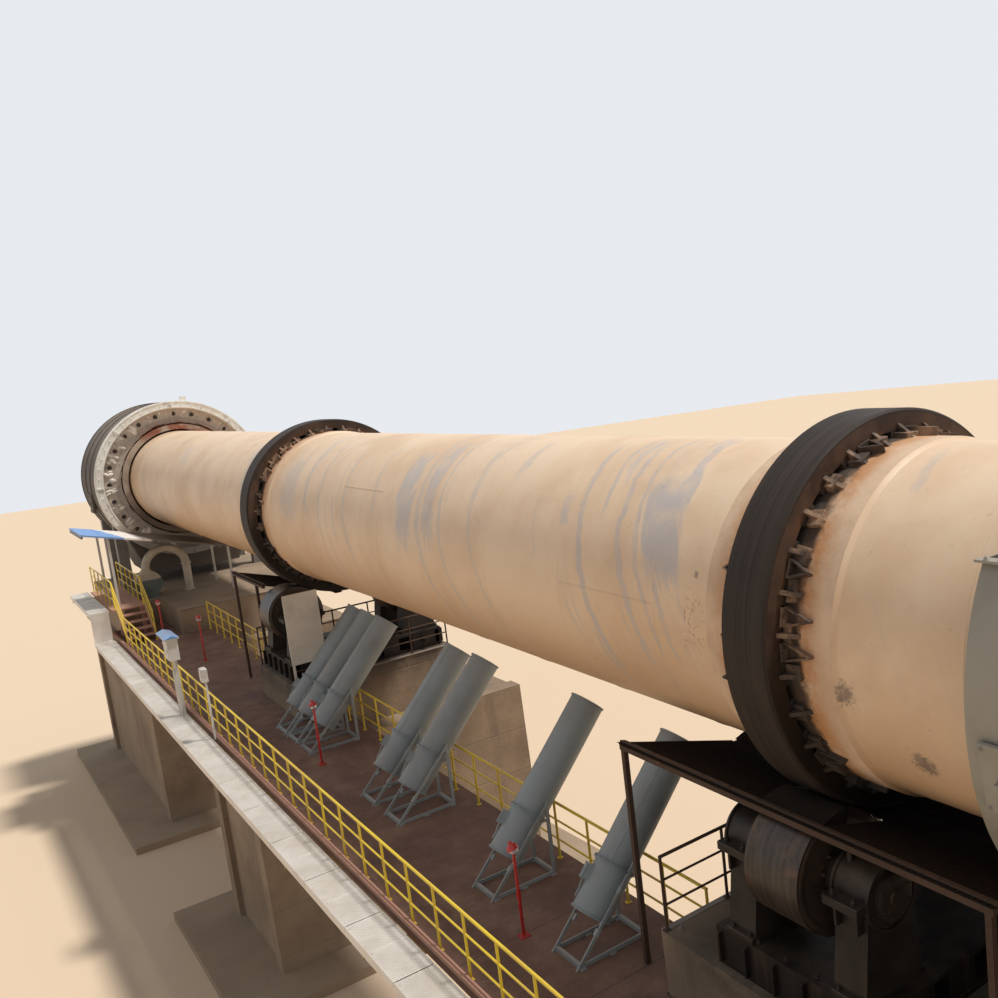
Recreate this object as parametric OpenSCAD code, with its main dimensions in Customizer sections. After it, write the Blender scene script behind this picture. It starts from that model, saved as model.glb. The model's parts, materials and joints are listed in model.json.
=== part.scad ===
// Rotary kiln with its roller stations, girth gear drive, piers and service walkway.
// Scale model at 1:2. Millimetres. +X runs along the kiln to its outlet, +Y to the far side, +Z up.
// The origin is on the ground below the middle tyre.
// Everything that follows the kiln's slope is drawn level, in (x, y, v) measured from the kiln axis
// at the middle tyre, and is set in place by on_kiln().

/* [Kiln axis] */
// Height of the kiln axis above the ground at the middle tyre
axis_height = 5400; // [4500:10:7000]
// Slope of the kiln down to its outlet, degrees
kiln_slope = 2; // [0.5:0.1:4]

/* [Shell] */
// Outer radius of the shell
shell_r = 1000; // [800:5:1015]
// Plate thickness of the shell
shell_wall = 30; // [12:1:60]
// Inlet end of the shell
shell_inlet_x = -19650; // [-20400:10:-19450]
// Outlet end of the shell
shell_outlet_x = 14650; // [14450:10:15400]

/* [Tyres] */
// Distance from one tyre to the next
tyre_spacing = 9750; // [9000:10:10400]
// Outer radius of a tyre
tyre_r = 1185; // [1150:1:1220]
// Inner radius of a tyre
tyre_bore_r = 1062; // [1050:1:1100]
// Width of a tyre along the kiln
tyre_width = 343; // [250:1:420]
// Rounding of the tyre's outer edges
tyre_edge = 14; // [4:1:25]

/* [Tyre seats] */
// Thickness of the plate band under a tyre
band_thick = 22; // [10:1:30]
// Length of the plate band along the kiln
band_length = 980; // [700:10:1400]
// Number of pads round the shell
pad_count = 30; // [20:1:36]
// Width of a pad round the shell
pad_width = 130; // [80:5:160]
// Gap between a pad's corners and the tyre
pad_gap = 0.8; // [0.7:0.1:5]
// Height of a stop bracket above the band
stop_height = 78; // [40:1:110]
// Length of a stop bracket along the kiln
stop_length = 120; // [60:5:200]
// Thickness of a stop bracket
stop_thick = 26; // [12:1:50]
// Side gap between a stop bracket and the tyre
stop_gap = 6; // [5:1:12]

/* [Rollers] */
// Radius of a support roller
roller_r = 360; // [320:5:400]
// Width of a support roller
roller_width = 420; // [360:5:480]
// Angle of the roller centre from straight down, degrees
roller_angle = 30; // [28:0.5:33]
// Running gap between the tyre and a roller
running_gap = 0.3; // [0.1:0.1:5]
// Radius of the roller shaft
shaft_r = 85; // [60:5:110]
// Shaft length from the roller's side to its end
shaft_reach = 330; // [280:5:400]
// Running gap round a shaft
shaft_gap = 0.3; // [0.1:0.1:5]

/* [Roller bearings] */
// Radius of a bearing housing
bearing_r = 190; // [150:5:230]
// Length of a bearing housing along the shaft
bearing_length = 250; // [200:5:270]
// Gap between the roller and a bearing housing
bearing_gap = 95; // [60:5:150]
// Width of a bearing housing's foot
bearing_foot = 460; // [400:10:520]

/* [Roller frames] */
// Height of the steel frame under the rollers
frame_height = 250; // [150:5:350]
// Half width of the steel frame across the kiln
frame_half_y = 1040; // [1010:5:1090]
// Half length of the steel frame along the kiln
frame_half_x = 640; // [600:5:700]
// Flange and web thickness of the frame
frame_plate = 30; // [15:1:50]

/* [Girth gear] */
// Centre of the girth gear along the kiln
gear_x = 1640; // [1600:5:1700]
// Tooth size (module)
gear_module = 20; // [16:1:22]
// Teeth of the girth gear
gear_teeth = 118; // [110:1:130]
// Teeth of the pinion
pinion_teeth = 20; // [17:1:24]
// Width of the girth gear
gear_width = 240; // [150:5:260]
// Depth of the girth gear's rim below the teeth
gear_rim = 55; // [30:5:70]
// Thickness of the girth gear's web
gear_web = 50; // [20:5:80]
// Extra distance between the gear and pinion centres
gear_backlash = 4; // [2:0.5:8]
// Angle of the pinion centre from straight down, on the far side, degrees
pinion_angle = 26; // [24:1:28]

/* [Gear guard] */
// Gap between the gear's tooth tips and the guard
guard_gap = 30; // [20:1:60]
// Plate thickness of the guard
guard_wall = 12; // [6:1:20]
// Inside width of the guard
guard_inside = 376; // [330:2:400]
// Height of the guard's upper edge above the kiln axis
guard_top = 660; // [400:10:800]
// Gap between the guard's side plates and the shell
guard_shell_gap = 30; // [15:1:60]
// Width of the flange along the guard's upper edge
guard_flange = 60; // [30:5:100]

/* [Drive] */
// Radius of the pinion shaft
pinion_shaft_r = 70; // [50:5:90]
// Outer radius of a pinion bearing
pinion_bearing_r = 130; // [100:5:140]
// Length of a pinion bearing
pinion_bearing_length = 160; // [120:5:200]
// Length of the gearbox
gearbox_length = 760; // [600:10:900]
// Width of the gearbox
gearbox_width = 700; // [600:10:860]
// Height of the gearbox
gearbox_height = 440; // [360:10:450]
// Radius of the motor
motor_r = 230; // [180:5:280]
// Length of the motor
motor_length = 620; // [500:10:760]
// Radius of the motor shaft
motor_shaft_r = 40; // [25:5:60]

/* [Inlet and outlet rings] */
// Plane of the inlet ring along the kiln
inlet_ring_x = -19190; // [-19300:10:-19000]
// Plane of the outlet ring along the kiln
outlet_ring_x = 14200; // [14000:10:14300]
// Outer radius of the ring
ring_r = 1636; // [1600:2:1700]
// Inner radius of the ring's raised outer band
ring_band_r = 1489; // [1450:1:1540]
// Thickness of the raised outer band
ring_band_thick = 130; // [60:5:180]
// Thickness of the ring's plate
ring_plate = 40; // [20:2:60]
// Gap between the ring's plate and the shell
ring_gap = 40; // [20:1:80]
// Radius of the circle that the ring's holes lie on
hole_circle_r = 1370; // [1340:2:1400]
// Radius of a ring hole
hole_r = 45; // [25:1:60]
// Number of ring holes
hole_count = 24; // [20:4:28]
// Turn of the hole circle round the kiln axis, degrees
hole_turn = -2; // [-7:0.5:7]
// Turn of the lug on top of the ring, degrees
lug_turn = -9; // [-20:1:20]
// Radius of the red-brown seal sleeve
seal_r = 1150; // [1100:5:1200]
// Length of the seal sleeve
seal_length = 180; // [100:5:260]

/* [Chamber and hood] */
// Length of the inlet chamber along the kiln
chamber_length = 1900; // [1500:10:2400]
// Length of the outlet hood along the kiln
hood_length = 1900; // [1500:10:2400]
// Outer radius of the chamber and the hood
chamber_half = 1620; // [1560:10:1630]
// Half width of the hopper's bottom below them
hopper_half = 900; // [700:10:1000]
// Floor of the chamber and the hood below the kiln axis
chamber_floor = 1950; // [1850:10:2100]
// Wall of the chamber and the hood
chamber_wall = 60; // [30:5:90]
// Side of a leg under the chamber
chamber_leg = 200; // [120:10:260]

/* [Piers] */
// Top of the pier blocks below the kiln axis
block_drop = 2150; // [2100:5:2200]
// Half width of a pier block across the kiln
block_half_y = 1100; // [1095:5:1200]
// Ledge of the pier body beyond the block
pier_ledge = 370; // [200:10:450]
// Half width of a pier body across the kiln
pier_half_y = 1900; // [1890:10:2000]
// Width of a pilaster on a pier body
pilaster = 260; // [150:10:400]
// Depth of the panel between two pilasters
panel_depth = 70; // [30:5:120]
// Height of a footing
footing_height = 120; // [60:10:250]
// Footing beyond the pier body along the kiln
footing_x = 700; // [300:10:1200]
// Footing beyond the pier body across the kiln
footing_y = 700; // [300:10:900]
// Block of the inlet and outlet piers, each way from the tyre
block_short = 780; // [720:5:785]
// Half width of the wide block below the inlet chamber
wide_half_y = 1750; // [1650:10:1800]
// Outlet end of the wide block along the kiln
wide_outlet_x = -17400; // [-17600:10:-17200]
// Outlet end of the inlet end pier's narrow block along the kiln
narrow_outlet_x = -15700; // [-15900:10:-15500]
// Block of the middle pier, from the tyre to the inlet side
block_middle_in = 1170; // [1000:10:1250]
// Block of the middle pier, from the tyre to the outlet side, with the drive on it
block_middle_out = 4100; // [4000:10:4400]

/* [Walkway] */
// Gap between the wide block and the deck
deck_start_gap = 20; // [10:5:60]
// Outlet end of the walkway
walk_outlet_x = 13200; // [12600:10:13600]
// Top of the deck below the kiln axis
deck_drop = 2600; // [2560:5:2650]
// Thickness of the deck
deck_thick = 60; // [30:5:90]
// Near edge of the deck from the kiln axis
deck_near = 2060; // [2030:5:2100]
// Far edge of the deck from the kiln axis
deck_far = 560; // [480:10:600]
// Height of the deck beams
beam_height = 240; // [160:10:320]
// Width of a deck beam
beam_width = 110; // [60:5:140]
// Gap between the walkway and a pier block
block_gap = 12; // [10:1:30]
// Near deck beam from the kiln axis
beam_near = 1830; // [1750:5:1840]
// Height of the kerb below the near railing
kerb_height = 50; // [25:5:80]
// Thickness of the kerb
kerb_thick = 40; // [20:5:60]

/* [Inlet landing] */
// Inlet end of the landing along the kiln
landing_x0 = -19120; // [-19160:10:-18900]
// Length of the landing
landing_length = 2600; // [2400:50:3000]
// Top of the landing below the kiln axis
landing_drop = 2050; // [2040:5:2080]
// Thickness of the landing's plate
landing_thick = 30; // [20:5:50]
// Far edge of the landing from the kiln axis
landing_far = 1500; // [1480:10:1600]
// Number of steps down to the deck
step_count = 4; // [3:1:6]
// Run of one step
step_run = 170; // [120:5:220]
// Thickness of a tread
tread_thick = 20; // [10:2:40]

/* [Railings] */
// Near railing from the kiln axis
rail_near = 2000; // [1960:5:2010]
// Far railing from the kiln axis
rail_far = 640; // [600:5:660]
// Height of a railing
rail_height = 534; // [480:2:600]
// Distance between posts
post_spacing = 500; // [400:10:700]
// Side of a post and of the top rail
post_size = 24; // [16:1:34]
// Side of a lower rail
lower_rail = 18; // [12:1:24]

/* [Cable tray] */
// Inner edge of the tray from the kiln axis
tray_inner = 2120; // [2100:5:2140]
// Outer edge of the tray from the kiln axis
tray_outer = 2420; // [2380:5:2500]
// Height of the tray's sides
tray_side = 80; // [50:5:120]
// Sheet thickness of the tray
tray_sheet = 10; // [5:1:16]
// Length of one tray cover, about
cover_length = 980; // [800:10:1200]
// Gap between two tray covers
cover_gap = 20; // [10:5:60]
// Distance between tray brackets
bracket_spacing = 1950; // [1500:10:2500]
// Thickness of a tray bracket
bracket_thick = 24; // [12:1:40]

/* [Cooling tubes] */
// Tubes beside the inlet tyre: distance of each from the tyre
tubes_by_inlet = [1000, 1450, 1950];
// Tubes before the middle tyre: distance of each from the tyre
tubes_by_middle = [5810, 5180, 3260, 1980];
// Outer radius of a tube
tube_r = 150; // [120:2:165]
// Sheet thickness of a tube
tube_sheet = 8; // [4:1:14]
// Length of a tube
tube_length = 1420; // [1300:10:1450]
// Lean of a tube from the floor, degrees
tube_lean = 47.5; // [44:0.5:50]
// Lower end of a tube's centre line from the kiln axis
tube_foot = 1160; // [1120:5:1220]
// Height of that end above the deck
tube_rise = 250; // [220:5:300]
// Radius of the collar at the seam
collar_r = 158; // [152:1:172]
// Distance of the seam from the lower end
seam_at = 360; // [250:10:500]
// Length of the collar
collar_length = 40; // [20:5:60]
// Turn of the junction box round the tube, degrees
box_turn = 240; // [235:1:260]
// Width of a stand's bars
stand_bar = 30; // [16:1:40]
// Thickness of a stand's side frames
stand_thick = 14; // [8:1:24]
// Length of a stand's foot across the walkway
stand_foot = 590; // [500:10:640]

/* [Roller canopies] */
// Outer edge of a roof from the kiln axis
roof_edge = 1030; // [1010:5:1070]
// Height of the roof's outer edge below the kiln axis
roof_drop = 950; // [930:5:1000]
// Fall of the roof towards the kiln, degrees
roof_fall = 17.5; // [15:0.5:19]
// Thickness of the roof sheet
roof_sheet = 10; // [5:1:16]
// Gap between the two roofs of a station
roof_split = 30; // [15:5:80]
// Gap round the tyre and the rollers
roof_gap = 25; // [15:1:50]
// Roof on the free side of the middle and outlet stations, from the tyre's centre
roof_inlet = 1570; // [1400:10:1700]
// Inlet end of the inlet station's roof, from the tyre's centre
roof_long = 1890; // [1700:10:2000]
// Outlet end of the inlet station's roof, before the tyre's centre
roof_stop = 300; // [250:10:400]
// Roof on the outlet side of the middle tyre
roof_to_guard = 1380; // [1200:10:1400]
// Side of a canopy post
canopy_post = 36; // [20:2:50]

/* [Inlet canopy] */
// Inlet end of the inlet canopy
shade_inlet_x = -18250; // [-18400:10:-18000]
// Outlet end of the inlet canopy
shade_outlet_x = -16700; // [-17000:10:-16500]
// Near edge of the inlet canopy from the kiln axis
shade_near = 2310; // [2200:10:2400]
// Far edge of the inlet canopy, beyond the kiln axis
shade_reach = 200; // [100:10:400]
// Height of the near edge below the kiln axis
shade_drop = 600; // [580:10:700]
// Fall of the inlet canopy towards the kiln, degrees
shade_fall = 15; // [14.5:0.5:18]
// Thickness of the inlet canopy
shade_thick = 30; // [20:5:50]
// Side of an inlet canopy post
shade_post = 40; // [25:5:60]

/* [Seal fan] */
// Place of the fan along the kiln
fan_x = -17700; // [-17900:10:-17600]
// Fan from the kiln axis
fan_y = 850; // [800:10:900]
// Radius of the fan's housing
fan_r = 230; // [180:5:235]
// Radius of the arched duct
duct_r = 75; // [50:5:90]
// Half span of the arched duct
duct_span = 370; // [320:10:400]
// Spring line of the arch below the kiln axis
duct_drop = 1600; // [1550:10:1650]

/* [Lamps, box and panel] */
// Place of each red lamp: along the kiln, and across it
lamp_places = [[-15500, -1450], [-13350, -1250], [-7200, -1400], [-2480, -1460]];
// Height of a lamp pole
lamp_height = 740; // [600:10:900]
// Radius of a lamp pole
lamp_pole_r = 14; // [8:1:20]
// Radius of a lamp hood
lamp_hood_r = 48; // [30:2:60]
// Place of the switch box along the kiln
box_x = -10700; // [-10900:10:-10500]
// Width of the switch box
box_width = 260; // [200:10:320]
// Height of the switch box
box_height = 290; // [200:10:400]
// Height of the switch box above the deck
box_rise = 810; // [600:10:900]
// Depth of the switch box
box_depth = 130; // [80:5:160]
// Shield panel's distance from the inlet tyre
panel_from_tyre = 810; // [806:1:814]
// Near edge of the shield panel from the kiln axis
panel_near = 1090; // [1000:10:1150]
// Height of the shield panel's lower edge above the deck
panel_rise = 730; // [500:10:800]
// Width of the shield panel
panel_width = 440; // [300:10:480]
// Height of the shield panel
panel_height = 920; // [700:10:940]

/* [Hidden] */
$fn = 96;
big = 60000;
shim = 0.02;
tyre_places = [-tyre_spacing, 0, tyre_spacing];
tube_places = concat([for (d = tubes_by_inlet) d - tyre_spacing], [for (d = tubes_by_middle) -d]);
roller_dist = tyre_r + running_gap + roller_r;
roller_y = roller_dist * sin(roller_angle);
roller_v = -roller_dist * cos(roller_angle);
bearing_x = roller_width / 2 + bearing_gap;
frame_top = -block_drop + frame_height;
gear_pitch_r = gear_module * gear_teeth / 2;
pinion_pitch_r = gear_module * pinion_teeth / 2;
gear_tip_r = gear_pitch_r + gear_module;
pinion_tip_r = pinion_pitch_r + gear_module;
gear_root_r = gear_pitch_r - 1.25 * gear_module;
pinion_dist = gear_pitch_r + pinion_pitch_r + gear_backlash;
pinion_y = pinion_dist * sin(pinion_angle);
pinion_v = -pinion_dist * cos(pinion_angle);
pinion_turn = 90 + pinion_angle;
guard_r = gear_tip_r + guard_gap;
guard_x0 = gear_x - guard_inside / 2 - guard_wall;
guard_x1 = gear_x + guard_inside / 2 + guard_wall;
pinion_bearing_x0 = guard_x0 - 40 - pinion_bearing_length;
pinion_bearing_x1 = guard_x1 + 40;
gearbox_x = pinion_bearing_x1 + pinion_bearing_length + 120;
motor_x = gearbox_x + gearbox_length + 120;
end_block = [inlet_ring_x - ring_plate - chamber_length, narrow_outlet_x];
block_ranges = [
    [-tyre_spacing - block_short, -tyre_spacing + block_short],
    [-block_middle_in, block_middle_out],
    [tyre_spacing - block_short, tyre_spacing + block_short]
];
roof_ranges = [
    [-tyre_spacing - roof_long, -tyre_spacing - roof_stop],
    [-roof_inlet, roof_to_guard],
    [tyre_spacing - roof_to_guard, tyre_spacing + roof_inlet]
];
walk_inlet_x = wide_outlet_x + deck_start_gap;
landing_x1 = landing_x0 + landing_length;
chamber_x0 = inlet_ring_x - ring_plate - chamber_length;
chamber_x1 = inlet_ring_x - ring_plate;
hood_x0 = outlet_ring_x + ring_plate;
hood_x1 = outlet_ring_x + ring_plate + hood_length;
body_drop = deck_drop + deck_thick + beam_height;
beam_far = deck_far + 90;
steps_end_x = landing_x1 + (step_count + 0.5) * step_run;
bracket_count = floor((walk_outlet_x - landing_x0) / bracket_spacing);
course_length = (shell_outlet_x - shell_inlet_x) / 5;

// Placing

// Sets children, drawn from the kiln axis, at the kiln's height and slope.
module on_kiln() {
    translate([0, 0, axis_height])
        rotate([0, kiln_slope, 0])
            children();
}

// Draws a flat (y, v) section as a solid along the kiln, from x0 to x1.
module along(x0, x1) {
    translate([x0, 0, 0])
        rotate([90, 0, 90])
            linear_extrude(x1 - x0)
                children();
}

// A round bar along the kiln from x0 to x1, with its centre at (y, v).
module bar_x(r, x0, x1, y = 0, v = 0) {
    translate([x0, y, v])
        rotate([0, 90, 0])
            cylinder(r = r, h = x1 - x0);
}

// Drum

// One plate course of the shell, counted from the inlet.
module shell(course) {
    x0 = shell_inlet_x + (course - 1) * course_length;
    color("#c99a72")
    on_kiln()
        difference() {
            bar_x(shell_r, x0, x0 + course_length);
            bar_x(shell_r - shell_wall, x0 - 1, x0 + course_length + 1);
        }
}

module tyre(place) {
    color("#2a2320")
    on_kiln()
        translate([place, 0, 0])
            rotate([0, 90, 0])
                rotate_extrude()
                    polygon([
                        [tyre_bore_r, -tyre_width / 2],
                        [tyre_r - tyre_edge, -tyre_width / 2],
                        [tyre_r, -tyre_width / 2 + tyre_edge],
                        [tyre_r, tyre_width / 2 - tyre_edge],
                        [tyre_r - tyre_edge, tyre_width / 2],
                        [tyre_bore_r, tyre_width / 2]
                    ]);
}

// The plate band, the pads and the stop brackets that carry one tyre.
module seat(place) {
    band_r = shell_r + band_thick;
    pad_top = sqrt(pow(tyre_bore_r - pad_gap, 2) - pow(pad_width / 2, 2));
    stop_x = tyre_width / 2 + stop_gap;
    color("#9c6a42")
    on_kiln()
        translate([place, 0, 0]) {
            difference() {
                bar_x(band_r, -band_length / 2, band_length / 2);
                bar_x(shell_r, -band_length / 2 - 1, band_length / 2 + 1);
            }
            for (i = [0 : pad_count - 1])
                rotate([i * 360 / pad_count, 0, 0]) {
                    translate([-tyre_width / 2, -pad_width / 2, band_r - 12])
                        cube([tyre_width, pad_width, pad_top - band_r + 12]);
                    for (side = [-1, 1])
                        translate([0, stop_thick / 2, 0])
                            rotate([90, 0, 0])
                                linear_extrude(stop_thick)
                                    polygon([
                                        [side * stop_x, band_r - 4],
                                        [side * (stop_x + stop_length), band_r - 4],
                                        [side * stop_x, band_r + stop_height]
                                    ]);
                }
        }
}

// Gears

// Angle, in degrees, that an involute has turned at radius r on base circle b.
function involute(b, r) = sqrt(r * r / (b * b) - 1) * 180 / PI - acos(b / r);

// Point of a tooth flank: radius r, at the given side of tooth number i.
function flank(teeth, b, half, r, i, side) =
    let (a = i * 360 / teeth + side * (half - involute(b, r)))
    [r * cos(a), r * sin(a)];

// Outline of an involute gear with its first tooth on the +X side.
module gear_outline(teeth) {
    pitch_r = gear_module * teeth / 2;
    base_r = pitch_r * cos(20);
    tip_r = pitch_r + gear_module;
    root_r = pitch_r - 1.25 * gear_module;
    low_r = max(root_r, base_r) + 0.01;
    half = 90 / teeth + involute(base_r, pitch_r);
    steps = 4;
    polygon([
        for (i = [0 : teeth - 1]) each concat(
            [[root_r * cos((i - 0.28) * 360 / teeth), root_r * sin((i - 0.28) * 360 / teeth)]],
            [for (k = [0 : steps]) flank(teeth, base_r, half, low_r + (tip_r - low_r) * k / steps, i, -1)],
            [for (k = [steps : -1 : 0]) flank(teeth, base_r, half, low_r + (tip_r - low_r) * k / steps, i, 1)],
            [[root_r * cos((i + 0.28) * 360 / teeth), root_r * sin((i + 0.28) * 360 / teeth)]]
        )
    ]);
}

module girth_gear() {
    rim_r = gear_root_r - gear_rim;
    color("#3b332c")
    on_kiln() {
        along(gear_x - gear_width / 2, gear_x + gear_width / 2)
            difference() {
                rotate(pinion_angle - 90)
                    gear_outline(gear_teeth);
                circle(r = rim_r);
            }
        difference() {
            bar_x(rim_r + 1, gear_x - gear_web / 2, gear_x + gear_web / 2);
            bar_x(shell_r, gear_x - gear_web, gear_x + gear_web);
        }
    }
}

module pinion() {
    color("#4a4540")
    on_kiln()
        translate([0, pinion_y, pinion_v]) {
            along(gear_x - gear_width / 2 - 10, gear_x + gear_width / 2 + 10)
                rotate(pinion_angle + 90 + 180 / pinion_teeth)
                    gear_outline(pinion_teeth);
            bar_x(pinion_shaft_r, pinion_bearing_x0 + 20, gearbox_x - 10);
        }
}

// Roller stations

module roller(place, side) {
    half = roller_width / 2;
    color("#3a302a")
    on_kiln()
        translate([place, side * roller_y, roller_v]) {
            bar_x(roller_r, -half, half);
            bar_x(shaft_r, -half - shaft_reach, half + shaft_reach);
            bar_x(shaft_r + 45, -half - 50, half + 50);
        }
}

// One bearing housing: a drum closed at its outer end, on a foot that stands on the frame.
module bearing(side) {
    foot_bottom = frame_top - roller_v + shim;
    shaft_end = roller_width / 2 + shaft_reach;
    difference() {
        union() {
            bar_x(bearing_r, bearing_x, bearing_x + bearing_length);
            along(bearing_x + 10, bearing_x + bearing_length - 10)
                polygon([
                    [-bearing_foot / 2, foot_bottom],
                    [bearing_foot / 2, foot_bottom],
                    [bearing_foot / 2, foot_bottom + 60],
                    [bearing_r - 20, -40],
                    [20 - bearing_r, -40],
                    [-bearing_foot / 2, foot_bottom + 60]
                ]);
            bar_x(bearing_r - 50, bearing_x + bearing_length - 1, bearing_x + bearing_length + 30);
        }
        bar_x(shaft_r + shaft_gap, bearing_x - 1, shaft_end + 5);
    }
}

module roller_bearings() {
    color("#4b4038")
    on_kiln()
        for (place = tyre_places)
            for (side = [-1, 1])
                translate([place, side * roller_y, roller_v]) {
                    bearing(1);
                    mirror([1, 0, 0])
                        bearing(1);
                }
}

// Steel frames on the pier blocks: a top plate, a bottom plate and webs along the kiln.
module roller_frames() {
    web_places = [-frame_half_y, -roller_y - 180, 180 - roller_y, roller_y - 180 - frame_plate,
        roller_y + 180 - frame_plate, frame_half_y - frame_plate];
    color("#2f2a26")
    on_kiln()
        for (place = tyre_places)
            along(place - frame_half_x, place + frame_half_x) {
                translate([-frame_half_y, -block_drop])
                    square([2 * frame_half_y, frame_plate]);
                translate([-frame_half_y, frame_top - frame_plate])
                    square([2 * frame_half_y, frame_plate]);
                for (y = web_places)
                    translate([y, -block_drop + 1])
                        square([frame_plate, frame_height - 2]);
            }
}

// Drive

// Outline of the guard round the girth gear and the pinion, grown by d.
module guard_outline(d) {
    circle(r = guard_r + d);
    translate([pinion_y, pinion_v])
        circle(r = pinion_tip_r + guard_gap + d);
}

module guard_plate(x0) {
    along(x0, x0 + guard_wall)
        difference() {
            guard_outline(guard_wall);
            circle(r = shell_r + guard_shell_gap);
            translate([pinion_y, pinion_v])
                circle(r = pinion_shaft_r + 12);
            translate([-2000, guard_top])
                square([4000, 2000]);
        }
}

module gear_guard() {
    foot_v = -block_drop;
    color("#7f8a80")
    on_kiln() {
        guard_plate(guard_x0);
        guard_plate(guard_x1 - guard_wall);
        along(guard_x0 + 1, guard_x1 - 1)
            difference() {
                guard_outline(guard_wall);
                guard_outline(0);
                translate([-2000, guard_top])
                    square([4000, 2000]);
            }
        for (side = [-1, 1]) {
            flange_y = sqrt(guard_r * guard_r - guard_top * guard_top);
            translate([guard_x0 - 20, side > 0 ? flange_y - 2 : -flange_y - guard_flange + 2, guard_top - guard_wall])
                cube([guard_x1 - guard_x0 + 40, guard_flange, guard_wall]);
        }
        for (x = [guard_x0, guard_x1 - guard_wall - 40])
            for (y = [-620, -140])
                translate([x, y, foot_v])
                    cube([40 + guard_wall, 60, -foot_v - sqrt(guard_r * guard_r - y * y) - guard_wall + 30]);
    }
}

module pinion_bearings() {
    foot_v = -block_drop - pinion_v;
    color("#54504a")
    on_kiln()
        translate([0, pinion_y, pinion_v])
            for (x0 = [pinion_bearing_x0, pinion_bearing_x1])
                difference() {
                    union() {
                        bar_x(pinion_bearing_r, x0, x0 + pinion_bearing_length);
                        along(x0 + 5, x0 + pinion_bearing_length - 5)
                            polygon([
                                [-240, foot_v],
                                [240, foot_v],
                                [240, foot_v + 60],
                                [pinion_bearing_r - 20, 0],
                                [20 - pinion_bearing_r, 0],
                                [-240, foot_v + 60]
                            ]);
                    }
                    bar_x(pinion_shaft_r + shaft_gap, x0 - 1, x0 + pinion_bearing_length + 1);
                }
}

module gearbox() {
    bottom = -block_drop;
    middle = pinion_v;
    color("#5d6a70")
    on_kiln()
        difference() {
            union() {
                translate([gearbox_x, pinion_y - gearbox_width / 2, middle - gearbox_height / 2])
                    cube([gearbox_length, gearbox_width, gearbox_height]);
                translate([gearbox_x - 40, pinion_y - gearbox_width / 2 - 40, middle - 20])
                    cube([gearbox_length + 80, gearbox_width + 80, 40]);
                translate([gearbox_x + 40, pinion_y - gearbox_width / 2 - 20, bottom])
                    cube([gearbox_length - 80, gearbox_width + 40, middle - gearbox_height / 2 - bottom + 1]);
                bar_x(pinion_bearing_r, gearbox_x - 60, gearbox_x + 1, pinion_y, middle);
            }
            bar_x(pinion_shaft_r + shaft_gap, gearbox_x - 61, gearbox_x + 5, pinion_y, middle);
        }
}

module motor() {
    bottom = -block_drop;
    color("#4d6378")
    on_kiln() {
        bar_x(motor_r, motor_x, motor_x + motor_length, pinion_y, pinion_v);
        bar_x(motor_r - 40, motor_x + motor_length - 1, motor_x + motor_length + 60, pinion_y, pinion_v);
        bar_x(motor_shaft_r, gearbox_x + gearbox_length + 40, motor_x + 1, pinion_y, pinion_v);
        translate([motor_x + 60, pinion_y - motor_r, bottom])
            cube([motor_length - 120, 2 * motor_r, pinion_v - bottom - 60]);
    }
}

// Ends

// The split ring that closes an end: a raised outer band on a plate with a circle of holes.
module end_ring(x, side) {
    x0 = side < 0 ? x : x - ring_band_thick;
    color("#b9b3a6")
    on_kiln() {
        difference() {
            bar_x(ring_r, side < 0 ? x - ring_plate : x0, side < 0 ? x0 + ring_band_thick : x + ring_plate);
            bar_x(ring_band_r, x0 - ring_plate - 1, x0 + ring_band_thick + ring_plate + 1);
        }
        difference() {
            bar_x(ring_band_r + 1, side < 0 ? x - ring_plate : x, side < 0 ? x : x + ring_plate);
            bar_x(shell_r + ring_gap, x - ring_plate - 1, x + ring_plate + 1);
            for (i = [0 : hole_count - 1])
                rotate([i * 360 / hole_count + hole_turn, 0, 0])
                    bar_x(hole_r, x - ring_plate - 1, x + ring_plate + 1, 0, hole_circle_r);
        }
        rotate([lug_turn, 0, 0])
            translate([x0 + ring_band_thick / 2 - 25, -60, ring_r - 10])
                cube([50, 120, 100]);
    }
}

// The sleeve that stands out of a ring round the shell.
module end_seal(x, side) {
    x0 = side < 0 ? x : x - seal_length;
    color("#8a4a32")
    on_kiln()
        difference() {
            bar_x(seal_r, x0, x0 + seal_length);
            bar_x(shell_r + ring_gap, x0 - 1, x0 + seal_length + 1);
        }
}

// Outline of the chamber and the hood: a drum with a tapering hopper below it.
module chamber_outline(d) {
    circle(r = chamber_half - d);
    polygon([
        [0.8 * chamber_half - d, -chamber_half / 2],
        [hopper_half - d, -chamber_floor + d],
        [d - hopper_half, -chamber_floor + d],
        [d - 0.8 * chamber_half, -chamber_half / 2]
    ]);
}

module end_chamber(x0, x1, side) {
    color("#8d857a")
    on_kiln()
        difference() {
            along(x0, x1)
                chamber_outline(0);
            along(x0 + chamber_wall, x1 - chamber_wall)
                chamber_outline(chamber_wall);
            bar_x(shell_r + ring_gap, side < 0 ? x1 - chamber_wall - 1 : x0 - 1,
                side < 0 ? x1 + 1 : x0 + chamber_wall + 1);
        }
}

// Legs under the drums of the chamber and the hood, each with a sloping top that touches the drum.
module chamber_legs() {
    y0 = chamber_half - 200 - chamber_leg;
    y1 = chamber_half - 200;
    lean = asin((y0 + y1) / 2 / chamber_half);
    color("#5c5650")
    on_kiln()
        for (x = [chamber_x0 + 100, chamber_x1 - 100 - chamber_leg, hood_x0 + 100, hood_x1 - 100 - chamber_leg])
            for (side = [0, 1]) {
                foot = x < 0 ? block_drop : body_drop;
                mirror([0, side, 0])
                    along(x, x + chamber_leg)
                        polygon([
                            [y0, -foot],
                            [y1, -foot],
                            [y1, (y1 * sin(lean) - chamber_half - shim) / cos(lean)],
                            [y0, (y0 * sin(lean) - chamber_half - shim) / cos(lean)]
                        ]);
            }
}

// Piers

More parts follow.
